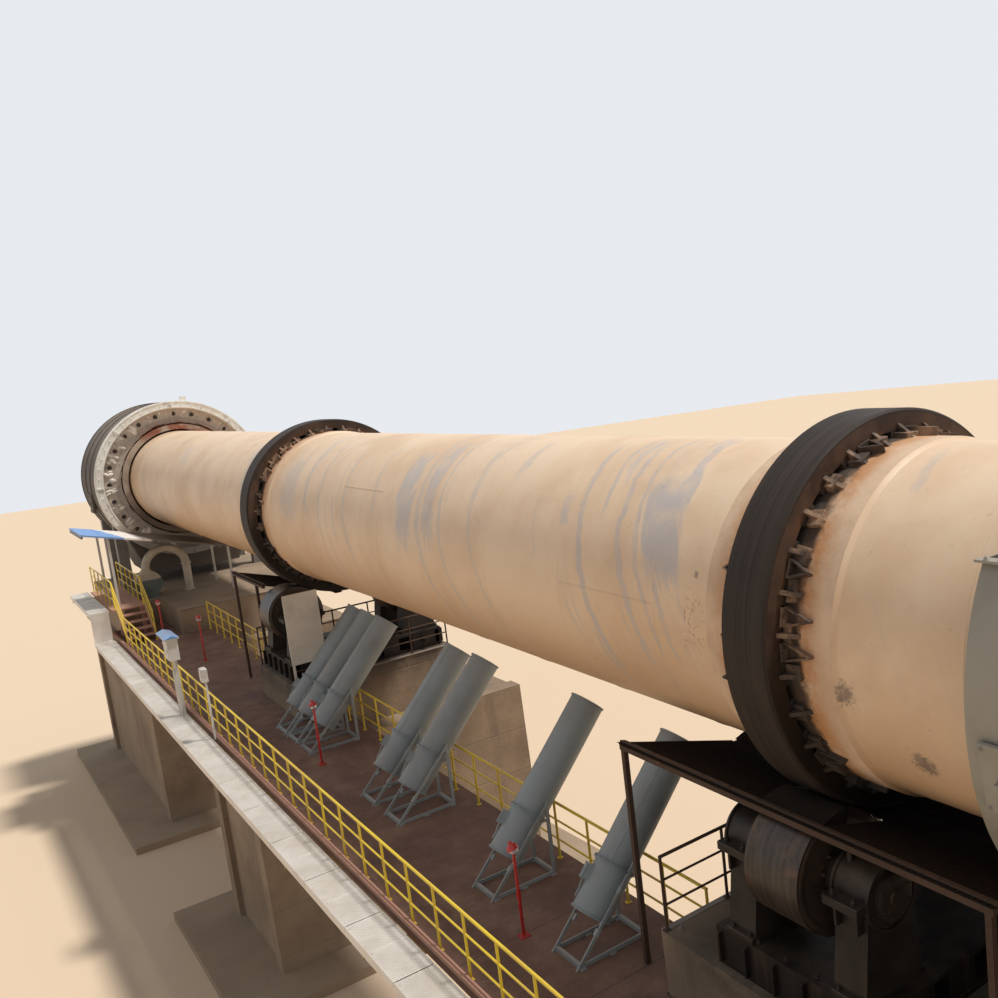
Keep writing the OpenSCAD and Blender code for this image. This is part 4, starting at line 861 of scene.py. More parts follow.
def drum_details():
    """Weld seams, fillets at the bands, stops and straps beside each tyre, and the gear's bolts."""
    seams = Shape()
    bead = [(0.998, -0.011), (1.0025, -0.006), (1.0035, 0.0), (1.0025, 0.006), (0.998, 0.011)]

    def clear(x, of_tyre, of_gear):
        nearest = min(abs(x - place) for place in TYRES.values())
        return nearest > of_tyre and abs(x - GEAR_X) > of_gear
    for k in range(30):
        x = -19.35 + 1.145 * k
        if clear(x, 0.52, 0.2):
            seams.hoop(spot(x, 0, 0) @ LYING, bead)
        if clear(x + 0.57, 1.1, 0.8):
            run = [(x + 0.02 + 1.1 * t / 12, 0, 0.0) for t in range(13)]
            seams.tube(on_drum(0, radians(70 + 97 * k), 0.9975), run, 0.0065, 6)
    for place in TYRES.values():
        for side in (-1, 1):
            fillet = [(0.999, -side * 0.002), (1.0215, -side * 0.002), (1.0215, 0),
                      (1.012, side * 0.009), (0.999, side * 0.026)]
            seams.hoop(spot(place + side * 0.49, 0, 0) @ LYING, fillet)
    seams.piece("weld_seams", "drum", "shell_paint")
    for name, place in TYRES.items():
        stops = Shape()
        for side in (-1, 1):
            for i in range(30):
                stop_block(stops, place, side, i)
        stops.piece("stops_" + name, "drum", "seat_steel")
    gear = Shape()
    for i in range(24):
        for side in (-1, 1):
            at = on_drum(GEAR_X + side * 0.026, radians(15 * i + 4), 1.045)
            gear.bolt(at @ turned(side * pi / 2, "Y"), 0.014, 0.014)
    gear.piece("gear_bolts", "drum", "gear_steel")


# Roller stations

def bearing_details(shape, bearing):
    """Covers, cap bolts, ribs, feet, lifting eye and grease cup of one bearing."""
    flat = bearing @ LYING
    shape.ring(flat, 0.182, 0.2, 0.245, 0.262)
    shape.ring(flat, 0.182, 0.2, -0.008, 0.012)
    shape.lathe(flat, [(0.135, 0.27), (0.135, 0.286), (0.125, 0.292), (0.05, 0.292), (0.045, 0.3)],
                32)
    for at in around(flat, 8, 0.5):
        shape.bolt(at @ moved(0.166, 0, 0.25), 0.010, 0.011)
        shape.bolt(at @ moved(0.112, 0, 0.291), 0.007, 0.008)
    for across in (-1, 1):
        ear, foot, rib = across * 0.222, across * 0.235, across * 0.2
        shape.block(bearing, (0.0, ear - 0.05, -0.025), (0.25, ear + 0.05, 0.025), 0.005)
        shape.block(bearing, (0.01, foot - 0.03, -0.5615), (0.24, foot + 0.03, -0.53), 0.004)
        for x in (0.05, 0.2):
            shape.bolt(bearing @ moved(x, foot, 0.025), 0.016, 0.02)
            shape.bolt(bearing @ moved(x, across * 0.245, -0.53), 0.012, 0.014)
            shape.block(bearing, (x - 0.01, rib - 0.03, -0.16), (x + 0.01, rib + 0.03, -0.025), 0.002)
    shape.tube(bearing, [(0.125 + 0.035 * cos(t * pi / 6), 0, 0.19 + 0.04 * sin(t * pi / 6))
                         for t in range(7)], 0.009)
    shape.lathe(bearing @ moved(0.06, -0.09, 0.165), [(0.02, 0), (0.02, 0.04), (0.014, 0.05)], 12)


def frame_details(shape, place):
    """Web stiffeners, bolts and end plates of one station's frame."""
    low, top = -2.122, -1.928
    for x in (-0.6, -0.36, -0.12, 0.12, 0.36, 0.6):
        for y in (-1.074, 1.038):
            shape.block(spot(place + x, 0, 0), (-0.008, y, low), (0.008, y + 0.036, top), 0.002)
        for y in (-1.0, 1.0):
            for v in (-1.9, -2.12):
                shape.bolt(spot(place + x + 0.06, y, v), 0.014, 0.018)
    for end in (-1, 1):
        for y in (-0.3, 0.3):
            shape.block(spot(place + end * 0.6, y, 0), (-0.03, -0.12, low), (0.03, 0.12, top), 0.004)
        for y in (-ROLLER_Y, ROLLER_Y):
            shape.block(spot(place + end * 0.63, y, 0), (-0.008, -0.17, -2.121),
                        (0.008, 0.17, -1.929), 0.002)
            shape.tube(spot(place + end * 0.66, y, -2.02), [(-0.03, 0, 0), (0.06, 0, 0)], 0.03, 12)
            shape.bolt(spot(place + end * 0.72, y, -2.02) @ turned(end * pi / 2, "Y"), 0.03, 0.02)


def rollers():
    """Worn rims and hub bolts on the rollers, and the details of their bearings and frames."""
    housings = Shape()
    frames = Shape()
    for name, place in TYRES.items():
        for side_name, side in (("near", -1), ("far", 1)):
            centre = spot(place, side * ROLLER_Y, ROLLER_V)
            hub = Shape()
            for end in (-1, 1):
                face = centre @ turned(end * pi / 2, "Y")
                hub.hoop(face, [(0.305, 0.208), (0.345, 0.208), (0.345, 0.214), (0.335, 0.218),
                                (0.312, 0.218), (0.305, 0.214)], 64)
                for at in around(face, 10):
                    hub.bolt(at @ moved(0.165, 0, 0.21), 0.013, 0.014)
                bearing_details(housings, centre @ turned(pi * (end < 0)) @ moved(0.305, 0, 0))
            roller = name + "_" + side_name
            hub.piece("hub_" + roller, "roller_" + roller, "roller_steel")
        frame_details(frames, place)
    housings.piece("bearing_covers", "plant", "bearing_iron")
    frames.piece("frame_stiffeners", "plant", "frame_steel")


def roof_height(y):
    """Height of the roof at a distance from the kiln's middle plane."""
    return ROOF_EDGE_V - (ROOF_EDGE - y) * tan(ROOF_FALL)


def hood(sheet, side, place):
    """Bent black cover over a roller where the roof is open, clear of the roller and of the tyre: a sheet
    of painted shade where the roller would show.
    """
    turns = [radians(-8 + 5 * k) for k in range(8)]
    half = HOOD_HALF

    def arc(x, r):
        return [(x, side * (ROLLER_Y + r * sin(a)), ROLLER_V + r * cos(a)) for a in turns]

    sheet.loft(KILN, [arc(x, ROLLER_R + 0.015) + arc(x, ROLLER_R + 0.012)[::-1]
                      for x in (place - half, place + half)])
    for x in (place - half, place + 0.240):
        low = [(x, side * y, roof_height(y) - 0.01) for y in (0.93, 0.74)]
        plate = arc(x, ROLLER_R + 0.015) + low
        sheet.loft(KILN, [plate, [(q[0] + 0.003, q[1], q[2]) for q in plate]])


def roofs():
    """Corrugated sheets with their gutter, flashing, hook bolts and the black hoods over the rollers,
    which stand in for shade.
    """
    pitch = 0.038
    sheet = Shape()
    trim = Shape()
    for start, stop, cut in ROOFS:
        # A folded gutter under the slot where the near and far sheets meet
        gutter = roof_height(ROOF_SLOT)
        sheet.block(KILN, (start, -0.05, gutter - 0.018), (stop, 0.05, gutter - 0.014), 0.001)
        steps = int((stop - start) / pitch * 6)
        xs = [start + (stop - start) * k / steps for k in range(steps + 1)]
        if cut is None:
            runs = [(xs, ROOF_SLOT, ROOF_EDGE)]
        else:
            middle = [x for x in xs if abs(x - cut) <= 0.25]
            runs = [([x for x in xs if x <= cut - 0.24], ROOF_SLOT, ROOF_EDGE),
                    ([x for x in xs if x >= cut + 0.24], ROOF_SLOT, ROOF_EDGE),
                    (middle, ROOF_SLOT, 0.44), (middle, 0.93, ROOF_EDGE)]
        for side in (-1, 1):
            for line, u0, u1 in runs:
                rings = []
                for x in line:
                    wave = 0.0048 * cos(tau * x / pitch)
                    v0, v1 = roof_height(u0) + wave, roof_height(u1) + wave
                    rings.append([(x, side * u0, v0), (x, side * u1, v1),
                                  (x, side * u1, v1 - 0.0025), (x, side * u0, v0 - 0.0025)])
                sheet.loft(KILN, rings)
            y, v = side * 0.985, roof_height(0.985)
            lean = turned(side * ROOF_FALL, "X")
            trim.block(spot(0, y, v) @ lean, (start, -0.024, 0.004), (stop, 0.024, 0.016), 0.003)
            for k in range(int((stop - start) / 0.25)):
                trim.bolt(spot(start + 0.12 + 0.25 * k, y, v + 0.017) @ lean, 0.006, 0.006)
            if cut is not None:
                hood(sheet, side, cut)
    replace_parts(sheet.piece("roof_sheets", "plant", "roof_paint"), "roller_roofs")
    trim.piece("roof_flashing", "plant", "post_paint")


# Walkway

def railings():
    """Round-tube railings with base plates, in place of the square ones."""
    near, far, station = Shape(), Shape(), Shape()

    def run(shape, place, length):
        count = max(1, round(length / POST_SPACING))
        for k in range(count + 1):
            x = 0.012 + (length - 0.024) * k / count
            shape.tube(place, [(x, 0, 0.0), (x, 0, RAIL_HEIGHT - 0.015)], POST_R)
            shape.block(place, (x - 0.022, -0.022, 0.0), (x + 0.022, 0.022, 0.006), 0.001)
        for height, r in RAILS:
            shape.tube(place, [(0.004, 0, height), (length - 0.004, 0, height)], r)

    for shape, y in ((near, RAIL_NEAR), (far, RAIL_LANDING)):
        run(shape, spot(-19.10, y, LANDING_V), 2.56)
        for height, r in RAILS:
            ends_of_rail = [(-16.542, y, height + LANDING_V), (-15.75, y, height + DECK_V)]
            shape.tube(KILN, ends_of_rail, r)
    last_post = spot(-15.76, RAIL_LANDING, DECK_V)
    far.tube(last_post, [(0, 0, 0), (0, 0, RAIL_HEIGHT - 0.012)], POST_R)
    far.plate(last_post, 0.022, 0.022, 0.006, 0.001)
    run(near, spot(-15.755, RAIL_NEAR, DECK_V), DECK_END + 15.755)
    for x0, x1 in ((-15.64, -10.59), (-8.91, -1.23), (4.16, 8.91), (10.59, DECK_END)):
        run(far, spot(x0, RAIL_FAR, DECK_V), x1 - x0)
    # Station railings in dark brown post_paint: painted shade on railings that are yellow on the walkway
    for x0, x1 in BLOCKS:
        for x in (x0 + 0.026, x1 - 0.026):
            run(station, spot(x, -1.08, BLOCK_TOP) @ turned(pi / 2), 2.16)
    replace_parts(near.piece("near_rails", "plant", "rail_yellow"), "near_railing")
    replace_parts(far.piece("far_rails", "plant", "rail_yellow"), "far_railing")
    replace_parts(station.piece("station_tubes", "plant", "post_paint"), "station_rails")


def walkway_details():
    """Lips, straps and bolts on the tray covers, and the deck's bolts and beam stiffeners."""
    tray = Shape()
    deck = Shape()
    for x0, x1, v, count in ((-19.12, -16.52, LANDING_V, 3), (-16.52, 13.2, DECK_V, 30)):
        pitch = (x1 - x0) / count
        for i in range(count):
            a = x0 + 0.01 + i * pitch
            b = a + pitch - 0.02
            lift = rng.uniform(0.0, 0.004)
            for y in (-2.42, -2.12):
                tray.block(spot(0, y, v), (a, -0.008, -0.03), (b, 0.008, 0.013 + lift), 0.002)
            for x in (a + 0.006, b - 0.006, (a + b) / 2):
                tray.block(spot(x, 0, v), (-0.008, -2.42, 0.006), (0.008, -2.12, 0.013), 0.002)
            for x in (a + 0.05, b - 0.05, (a + b) / 2 + 0.03):
                for y in (-2.4, -2.14):
                    tray.bolt(spot(x, y, v + 0.009), 0.006, 0.006)
    for k in range(30):
        x = -17.2 + k
        on_block = any(x0 - 0.03 < x < x1 + 0.03 for x0, x1 in BLOCKS + [END_BLOCK])
        for y in (-1.95, -1.5, -1.05):
            if y < -1.2 or not on_block:
                deck.bolt(spot(x, y, DECK_V - 0.001), 0.008, 0.004)
        deck.block(spot(x, -1.885, -2.9), (-0.006, -0.032, 0.012), (0.006, 0.0, 0.228), 0.001)
    tray.piece("tray_clips", "plant", "tray_zinc")
    deck.piece("deck_bolts", "plant", "beam_paint")


def tubes():
    """Rims, collars, seams and box lids of the tubes, the fans inside them and their stands' feet."""
    shape = Shape()
    fans = Shape()
    stands = Shape()
    r = TUBE_R
    slope = tan(radians(TUBE_LEAN))
    start = TUBE_Y - 0.25 / slope
    for x in TUBES:
        axis = spot(x, TUBE_Y, DECK_V + 0.25) @ turned(radians(TUBE_LEAN - 90), "X")
        for z in (0.0, 1.408):
            shape.hoop(axis, [(r, z), (0.158, z), (0.160, z + 0.006), (0.158, z + 0.012),
                              (r, z + 0.012)], 48)
        shape.ring(axis, r, 0.172, 0.372, 0.379)
        shape.ring(axis, r, 0.172, 0.381, 0.388)
        for at in around(axis, 16):
            shape.bolt(at @ moved(0.165, 0, 0.388), 0.005, 0.006)
        seam = axis @ turned(radians(rng.choice((215, 290, 305))))
        shape.block(seam, (0.147, -0.006, 0.40), (0.1525, 0.006, 1.405), 0.001)
        for z in (0.75, 1.08):
            shape.hoop(axis, [(r, z - 0.005), (0.1515, z - 0.003), (0.1515, z + 0.003),
                              (r, z + 0.005)], 48)
        box = axis @ turned(radians(240)) @ moved(0.188, 0, 0.255)
        shape.block(box, (0.0, -0.05, -0.06), (0.008, 0.05, 0.06), 0.002)
        for y, z in corners(0.04, 0.05):
            shape.bolt(box @ moved(0.008, y, z) @ LYING, 0.004, 0.004)
        stands.tube(box, [(-0.02, 0, -0.05), (-0.02, 0, -0.09), (-0.03, -0.01, -0.13),
                          (-0.03, -0.02, -0.19)], 0.008)
        hub = axis @ moved(0, 0, 0.12)
        fans.lathe(hub, [(0.02, -0.07), (0.055, -0.06), (0.06, 0.0), (0.06, 0.17), (0.045, 0.19)], 20)
        for at in around(hub, 6):
            fans.block(at @ turned(0.6, "X"), (0.05, -0.03, -0.003), (0.132, 0.03, 0.003), 0.001)
        for wire in (0.06, 0.1, 0.138):
            fans.ring(axis @ moved(0, 0, 0.008), wire, wire + 0.004, 0, 0.004, 32)
        for i in range(4):
            fans.block(axis @ turned(pi * i / 4), (-0.145, -0.003, 0.006), (0.145, 0.003, 0.012), 0.001)
        for side in (-1, 1):
            for y in (0.02, 0.28, 0.56):
                stands.plate(spot(x + side * 0.165, start + y, DECK_V), 0.03, 0.025, 0.007, 0.001)
                stands.bolt(spot(x + side * 0.185, start + y, DECK_V + 0.007), 0.006, 0.007)
            for t in (0.18, 0.4):
                lug = (spot(x + side * 0.158, start + t, DECK_V + t * slope)
                       @ turned(radians(TUBE_LEAN), "X"))
                stands.block(lug, (-0.02 - 0.012 * (side > 0), -0.025, -0.012),
                             (0.02 + 0.012 * (side < 0), 0.025, 0.006), 0.002)
    shape.piece("tube_rims", "plant", "tube_paint")
    fans.piece("tube_fans", "plant", "stand_paint")
    stands.piece("stand_feet", "plant", "stand_paint")


# Ends

def ring_details(shape, flat):
    """Bolts and joints of an end ring."""
    for r in (1.505, 1.618):
        shape.hoop(flat, [(r - 0.012, 0.128), (r + 0.012, 0.128), (r + 0.010, 0.139),
                          (r - 0.010, 0.139)])
    shape.ring(flat, 1.085, 1.16, 0.0, 0.012, 96)
    shape.ring(flat, 1.27, 1.28, -0.002, 0.02, 96)
    shape.hoop(flat, [(1.455, -0.002), (1.489, -0.002), (1.489, 0.02), (1.46, 0.02)])
    for i, at in enumerate(around(flat, 48)):
        shape.bolt(at @ moved(1.562, 0, 0.13), 0.012, 0.013)
        if i % 2:
            shape.bolt(at @ moved(1.21, 0, 0.0), 0.012, 0.012)
        if i % 6 == 0:
            for y in (-0.018, 0.004):
                shape.block(at, (1.495, y, 0.12), (1.634, y + 0.014, 0.15), 0.003)
            shape.block(at, (1.09, -0.02, 0.0), (1.485, 0.02, 0.014), 0.002)


def hole_details(rim, dust, flat, face):
    """Rims of the ring's holes and the dust lying between them, heaped on the near side."""
    for i in range(24):
        hole = flat @ turned(radians(-2 * face + 15 * i))
        rim.hoop(hole @ moved(1.37, 0, 0), [(0.045, -0.002), (0.060, -0.002), (0.058, 0.010),
                                            (0.047, 0.010)], 20)
        heaped = sin(radians(15 * i + 7.5)) < -0.55
        for _ in range(7 if heaped else 3):
            big = rng.uniform(0.035, 0.068) if heaped else rng.uniform(0.012, 0.03)
            turn = turned(radians(7.5) + rng.uniform(-0.075, 0.075))
            stretch = (rng.uniform(-0.5, 0.5), rng.uniform(0.9, 1.5), rng.uniform(0.5, 0.8))
            spread = turned(stretch[0]) @ Matrix.Diagonal((*stretch[1:], 1, 1))
            dust.lathe(hole @ turn @ moved(rng.uniform(1.29, 1.44), 0, -0.004) @ spread,
                       [(big, 0), (big * 0.9, big * 0.35), (big * 0.5, big * 0.6),
                        (big * 0.1, big * 0.7)], 9)


def seal_leaves(shape, flat):
    """Overlapping leaves round the seal, bent outward by uneven amounts."""
    wide = tau * 1.165 / 60 * 0.56
    for i, at in enumerate(around(flat, 60)):
        bend = rng.uniform(0.0, 0.035) * (1.6 if abs(i - 30) < 9 else 0.7)
        edge = ((0.004, 1.152), (0.06, 1.156 + 0.2 * bend), (0.12, 1.158 + 0.6 * bend),
                (0.185, 1.158 + bend), (0.188, 1.163 + bend), (0.12, 1.164 + 0.6 * bend),
                (0.06, 1.162 + 0.2 * bend), (0.004, 1.158))
        shape.loft(at, [[(r, y, z) for z, r in edge] for y in (-wide, wide)])


def housing_details(shape, start, face):
    """Hoops, back ribs, hub cover and side doors of an end housing."""
    drum = spot(start, 0, 0) @ turned(-face * pi / 2, "Y")
    for z in (0.01, 0.62, 1.24, 1.86):
        shape.ring(drum, 1.61, 1.634, z, z + 0.03, 96)
    back = drum @ moved(0, 0, 1.9)
    for i in range(16):
        shape.block(back @ turned(tau * i / 16), (0.55, -0.02, -0.002), (1.56, 0.02, 0.01), 0.003)
        shape.bolt(back @ turned(tau * (i + 0.5) / 16) @ moved(0.47, 0, 0.008), 0.014, 0.014)
    shape.lathe(back, [(0.52, -0.004), (0.52, 0.008), (0.40, 0.008), (0.39, 0.02), (0.1, 0.026)], 48)
    for side in (-1, 1):
        door = spot(start - face * 0.93, side * 1.612, -0.35)
        shape.block(door, (-0.2, -0.03, -0.2), (0.2, 0.022, 0.2), 0.008)
        for x, z in corners(0.16, 0.16):
            at = door @ moved(x, side * 0.022, z) @ turned(-side * pi / 2, "X")
            shape.bolt(at, 0.014, 0.016)
        shape.tube(door, [(-0.06, side * 0.02, 0), (-0.06, side * 0.05, 0),
                          (0.06, side * 0.05, 0), (0.06, side * 0.02, 0)], 0.008)


def ends():
    """Details of both end rings, seals and housings."""
    for name, x, face in RINGS:
        ring, leaves, house, dust = Shape(), Shape(), Shape(), Shape()
        flat = spot(x, 0, 0) @ turned(face * pi / 2, "Y")
        ring_details(ring, flat)
        hole_details(ring, dust, flat, face)
        seal_leaves(leaves, flat)
        housing_details(house, x - face * 0.04, face)
        ring.piece(name + "_ring_bolts", "plant", "ring_paint")
        dust.piece(name + "_ring_dust", "plant", "ring_paint", paints["dust_lumps"])
        leaves.piece(name + "_seal_leaves", "plant", "seal_paint")
        house.piece(name + "_housing_ribs", "plant", "chamber_steel")


# Drive

def guard_details():
    """Flange bolts and a hatch on the gear guard."""
    guard = Shape()
    for i in range(41):
        a = radians(64 + 232 * i / 40)
        if not 0.30 < -sin(a) < 0.75 or cos(a) > -0.3:
            for x, out in ((1.44, -1), (1.84, 1)):
                guard.bolt(on_drum(x, a, 1.215) @ turned(out * pi / 2, "Y"), 0.007, 0.006)
    for side in (-1, 1):
        for k in range(6):
            guard.bolt(spot(1.47 + 0.068 * k, side * 1.083, 0.66), 0.009, 0.010)
    hatch = on_drum(GEAR_X, radians(100), 1.254)
    guard.block(hatch, (-0.13, -0.16, -0.01), (0.13, 0.16, 0.012), 0.004)
    for x, y in corners(0.11, 0.14):
        guard.bolt(hatch @ moved(x, y, 0.012), 0.008, 0.009)
    guard.tube(hatch, [(-0.05, 0, 0.01), (-0.05, 0, 0.04), (0.05, 0, 0.04), (0.05, 0, 0.01)], 0.006)
    guard.piece("guard_ribs", "plant", "guard_paint")


def gearbox_details():
    """Joint bolts, ribs, inspection cover, breather, lifting eyes and shaft covers of the gearbox."""
    box = Shape()
    y0, v0 = PINION_Y, PINION_V
    for k in range(9):
        for y in (y0 - 0.372, y0 + 0.372):
            box.bolt(spot(2.16 + 0.095 * k, y, v0 + 0.02), 0.010, 0.012)
    for x in (2.3, 2.54, 2.78):
        for out in (-1, 1):
            wall = spot(x, y0 + out * 0.35, 0)
            for reach, low, high in ((0.03, -0.215, -0.02), (0.026, 0.02, 0.2)):
                near, far = sorted((0, out * reach))
                box.block(wall, (-0.01, near, v0 + low), (0.01, far, v0 + high), 0.003)
    box.block(spot(2.54, y0, v0 + 0.22), (-0.16, -0.12, -0.004), (0.16, 0.12, 0.014), 0.004)
    box.lathe(spot(2.72, y0 + 0.2, v0 + 0.218), [(0.022, 0), (0.022, 0.03), (0.034, 0.035),
                                                 (0.034, 0.06), (0.02, 0.07)], 16)
    for x in (2.24, 2.84):
        box.eye(spot(x, y0, v0 + 0.22))
    for y in (-0.12, 0.12):
        cover = spot(2.92, y0 + y * 1.6, v0) @ LYING
        box.lathe(cover, [(0.13, -0.004), (0.13, 0.012), (0.12, 0.018)], 24)
        box.lathe(cover, [(0.09, 0.01), (0.09, 0.03), (0.07, 0.034)], 24)
    box.piece("gearbox_bolts", "plant", "gearbox_paint")


def motor_details():
    """Fins, flanges, terminal box, fan grille, lifting eye, feet and coupling of the motor."""
    motor = Shape()
    y0, v0 = PINION_Y, PINION_V
    body = spot(3.04, y0, v0) @ LYING
    for i in range(40):
        if not 0.36 < (i / 40) < 0.64:
            fin = body @ turned(tau * (i + 0.5) / 40 + pi)
            motor.block(fin, (0.225, -0.003, 0.07), (0.256, 0.003, 0.53), 0.001)
    for low, high in ((-0.008, 0.05), (0.55, 0.62)):
        motor.ring(body, 0.225, 0.242, low, high)
    for at in around(body, 8, 0.5):
        motor.bolt(at @ moved(0.2, 0, -0.001) @ turned(pi, "X"), 0.009, 0.010)
    motor.block(spot(3.3, y0 + 0.2, v0 + 0.13), (-0.09, -0.02, -0.06), (0.09, 0.12, 0.07), 0.008)
    for r in (0.05, 0.09, 0.13, 0.165):
        motor.ring(body @ moved(0, 0, 0.679), r, r + 0.006, 0, 0.006, 32)
    motor.eye(spot(3.34, y0, v0 + 0.235))
    for x in (3.14, 3.56):
        for y in (y0 - 0.25, y0 + 0.25):
            motor.plate(spot(x, y, BLOCK_TOP), 0.05, 0.03, 0.03, 0.004)
            motor.bolt(spot(x, y, BLOCK_TOP + 0.03), 0.012, 0.014)
    motor.hoop(spot(2.98, y0, v0) @ LYING, [(0.038, -0.05), (0.1, -0.05), (0.105, -0.04),
                                            (0.105, -0.004), (0.06, 0.0), (0.06, 0.04),
                                            (0.038, 0.04)], 32)
    motor.piece("motor_fins", "plant", "motor_paint")


# Small pieces

def lamps():
    """Red lamps: a pole, a tilted bell hood, a socket and a glass globe."""
    red = Shape()
    glass = Shape()
    for x, y, turn in LAMPS:
        foot = spot(x, y, DECK_V)
        red.plate(foot, 0.04, 0.04, 0.008, 0.002)
        for bolt_x, bolt_y in corners(0.028, 0.028):
            red.bolt(foot @ moved(bolt_x, bolt_y, 0.008), 0.005, 0.006)
        red.tube(foot, [(0, 0, 0.005), (0, 0, 0.69)], 0.0125, 12)
        red.lathe(foot, [(0.017, 0.3), (0.017, 0.36)], 12)
        head = foot @ moved(0, 0, 0.70) @ turned(turn) @ turned(radians(-24), "Y")
        red.lathe(head, [(0.0135, -0.02), (0.02, -0.015), (0.022, 0.02), (0.018, 0.03)], 16)
        red.hoop(head, [(0.044, -0.002), (0.046, -0.002), (0.040, 0.026), (0.026, 0.044),
                        (0.014, 0.05), (0.012, 0.047), (0.024, 0.041), (0.038, 0.023)], 32)
        red.lathe(head, [(0.014, 0.044), (0.016, 0.058), (0.010, 0.066), (0.003, 0.07)], 12)
        glass.lathe(head, [(0.016, 0.012), (0.030, 0.002), (0.034, -0.012), (0.028, -0.026),
                           (0.014, -0.034), (0.004, -0.036)], 20)
    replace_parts(red.piece("lamps", "plant", "lamp_red"), "red_lamps")
    glass.piece("lamp_glasses", "plant", "lamp_red", paints["lamp_glass"])


def switch_box():
    """Door, hinges, rain roof and conduits of the switch box, and the small box beside it."""
    box = Shape()
    roof = Shape()
    x0, low, front = SWITCH_X, SWITCH_LOW, SWITCH_FRONT
    y = front - 0.005
    box.block(spot(x0, y, low), (0.015, -0.004, 0.015), (0.245, 0.008, 0.275), 0.003)
    for z in (0.06, 0.22):
        box.tube(spot(x0 + 0.01, y - 0.006, low + z), [(0, 0, -0.015), (0, 0, 0.015)], 0.006)
    box.lathe(spot(x0 + 0.215, y - 0.003, low + 0.14) @ turned(pi / 2, "X"),
              [(0.014, 0), (0.014, 0.012), (0.008, 0.018)], 16)
    eaves, ridge = low + 0.308, low + 0.345
    roof.loft(KILN, [[(x, front - 0.035, eaves), (x, front + 0.155, eaves), (x, front + 0.06, ridge)]
                     for x in (x0 - 0.28, x0 + 0.295)])
    for x in (x0 + 0.07, x0 + 0.12, x0 + 0.19):
        box.tube(KILN, [(x, front + 0.07, low + 0.01), (x, front + 0.07, low - 0.1),
                        (x, front + 0.045, low - 0.2), (x, front + 0.045, DECK_V + 0.01)], 0.008)
    box.plate(spot(-9.2, -2.075, DECK_V), 0.012, 0.012, 0.80, 0.002)
    box.plate(spot(-9.2, -2.085, DECK_V + 0.76), 0.07, 0.035, 0.17, 0.006)
    box.block(spot(-9.2, -2.122, DECK_V + 0.76), (-0.055, -0.004, 0.015), (0.055, 0.004, 0.155),
              0.002)
    box.piece("switch_box_door", "plant", "box_paint")
    roof.piece("switch_box_roof", "plant", "box_paint", paints["blue_sheet"])


def shield_panel():
    """Folds and bolts of the shield panel."""
    panel = Shape()
    x, y0, v0 = PANEL
    for z in (0.0, 0.9):
        panel.block(spot(x, y0, v0 + z), (-0.012, 0, 0), (0.0, 0.44, 0.02), 0.002)
    for y in (0.0, 0.42, 0.205):
        panel.block(spot(x, y0 + y, v0), (-0.012, 0, 0), (0.0, 0.02, 0.92), 0.002)
    for y in (0.03, 0.41):
        for z in (0.05, 0.3, 0.6, 0.87):
            panel.bolt(spot(x + 0.01, y0 + y, v0 + z) @ LYING, 0.006, 0.006)
    panel.piece("panel_folds", "plant", "panel_paint")


def canopy():
    """Ribbed sheet, bolts and purlins of the inlet canopy."""
    start, y0, v0 = CANOPY
    sheet = Shape()
    purlins = Shape()
    top = spot(0, y0, v0) @ turned(-CANOPY_LEAN, "X")
    length = 2.51 / cos(CANOPY_LEAN)
    steps = 124
    rings = []
    for k in range(steps + 1):
        x = start + 1.55 * k / steps
        wave = 0.006 if k % 8 < 3 else 0.0
        rings.append([(x, 0.0, wave + 0.001), (x, length, wave + 0.001),
                      (x, length, wave - 0.004), (x, 0.0, wave - 0.004)])
    sheet.loft(top, rings)
    for y in (0.35, 1.2, 2.2):
        for k in range(8):
            sheet.bolt(top @ moved(PURLIN_START + 0.194 * k + 0.04, y, 0.005), 0.006, 0.006)
    for y in (0.03, 0.8, 1.6, 2.4):
        purlins.block(top @ moved(0, y, -0.031), (PURLIN_START, -0.016, -0.045),
                      (-16.72, 0.016, 0.002), 0.003)
    sheet.piece("canopy_sheet", "plant", "canopy_paint")
    purlins.piece("canopy_purlins", "plant", "leg_steel")


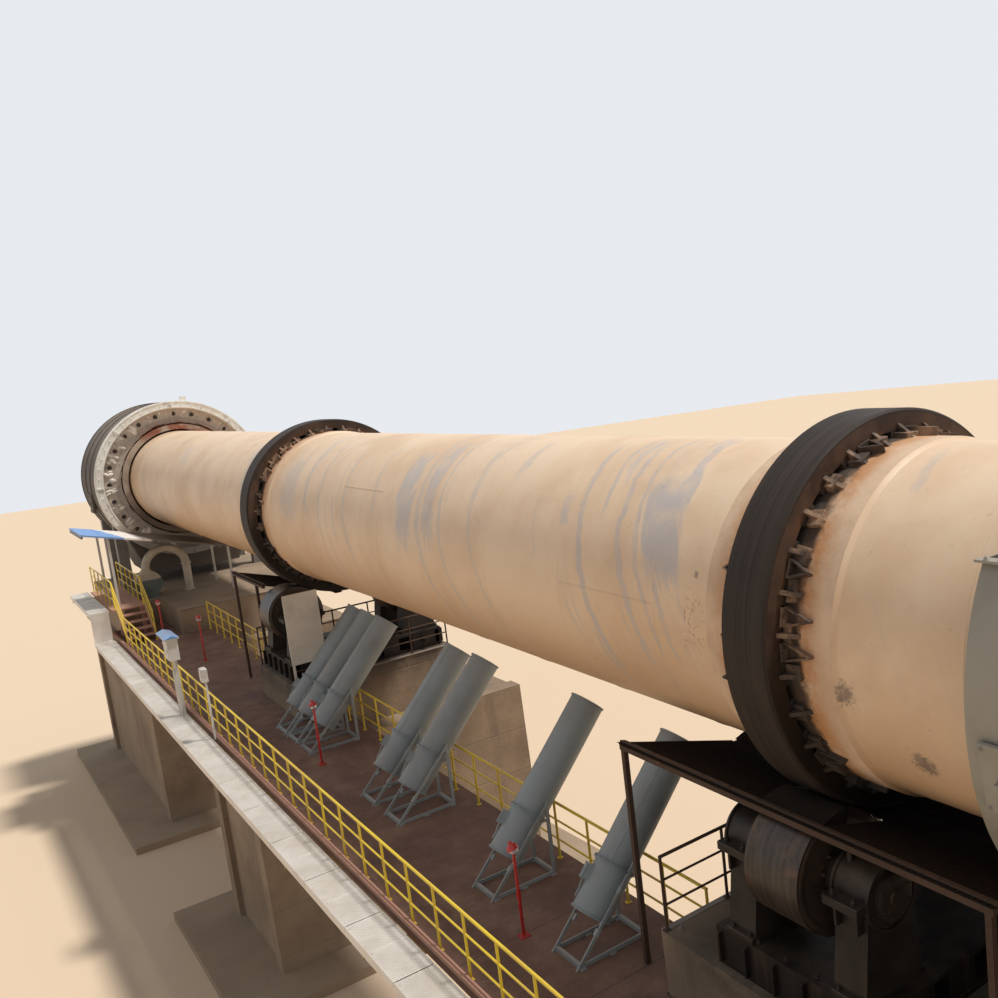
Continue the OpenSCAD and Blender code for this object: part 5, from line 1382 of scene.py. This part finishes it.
def seal_fan():
    """Flanges, bolts and blades of the seal fan, and the joints of its arched duct."""
    fan = Shape()
    base = spot(*FAN)
    house = base @ moved(0, -0.37, -0.26) @ LYING
    for z in (-0.112, 0.1):
        fan.ring(house, 0.225, 0.245, z, z + 0.012)
    for at in around(house, 16):
        fan.bolt(at @ moved(0.236, 0, 0.112), 0.006, 0.007)
    for at in around(house, 20):
        fan.block(at, (0.085, -0.002, -0.36), (0.104, 0.002, -0.16), 0.001)
    for side in (-1, 1):
        for at in around(base @ moved(0, side * 0.37, 0), 8):
            fan.bolt(at @ moved(0.086, 0, 0.005), 0.005, 0.006)
    for i in range(7):
        arch = base @ turned(pi * (i + 0.5) / 7, "X") @ moved(0, 0.37, 0)
        fan.ring(arch, 0.073, 0.080, -0.004, 0.004, 24)
    fan.piece("fan_flanges", "plant", "fan_paint")


def pier_details():
    """Formwork tie cones, and the edge angles and bolts of the pier blocks."""
    ties = Shape()
    edges = Shape()
    for x0, x1 in [END_BLOCK] + BLOCKS:
        length = x1 - x0 + 0.5
        count = int(length / 0.75)
        for out in (-1, 1):
            for i in range(count + 1):
                x = x0 - 0.25 + length * i / count
                for k in range(4):
                    at = moved(x - 0.09, out * 1.905 - out * 0.076, 0.4 + 0.62 * k)
                    ties.lathe(at @ turned(-out * pi / 2, "X"),
                               [(0.018, -0.002), (0.018, 0.002), (0.013, 0.0025)], 10)
        for end in (x0 + 0.01, x1 - 0.01):
            edges.block(spot(end, 0, BLOCK_TOP), (-0.025, -1.09, -0.006), (0.025, 1.09, 0.004), 0.001)
        for y in (-1.0, -0.5, 0.5, 1.0):
            edges.bolt(spot(x0 + 0.09, y, BLOCK_TOP), 0.016, 0.02)
    ties.piece("pier_ties", "plant", "concrete", paints["tie_holes"])
    edges.piece("block_edges", "plant", "leg_steel")


make_camera()
make_light()
make_floor()
paints = make_paints()
drum_details()
rollers()
roofs()
railings()
walkway_details()
tubes()
ends()
guard_details()
gearbox_details()
motor_details()
lamps()
switch_box()
shield_panel()
canopy()
seal_fan()
pier_details()
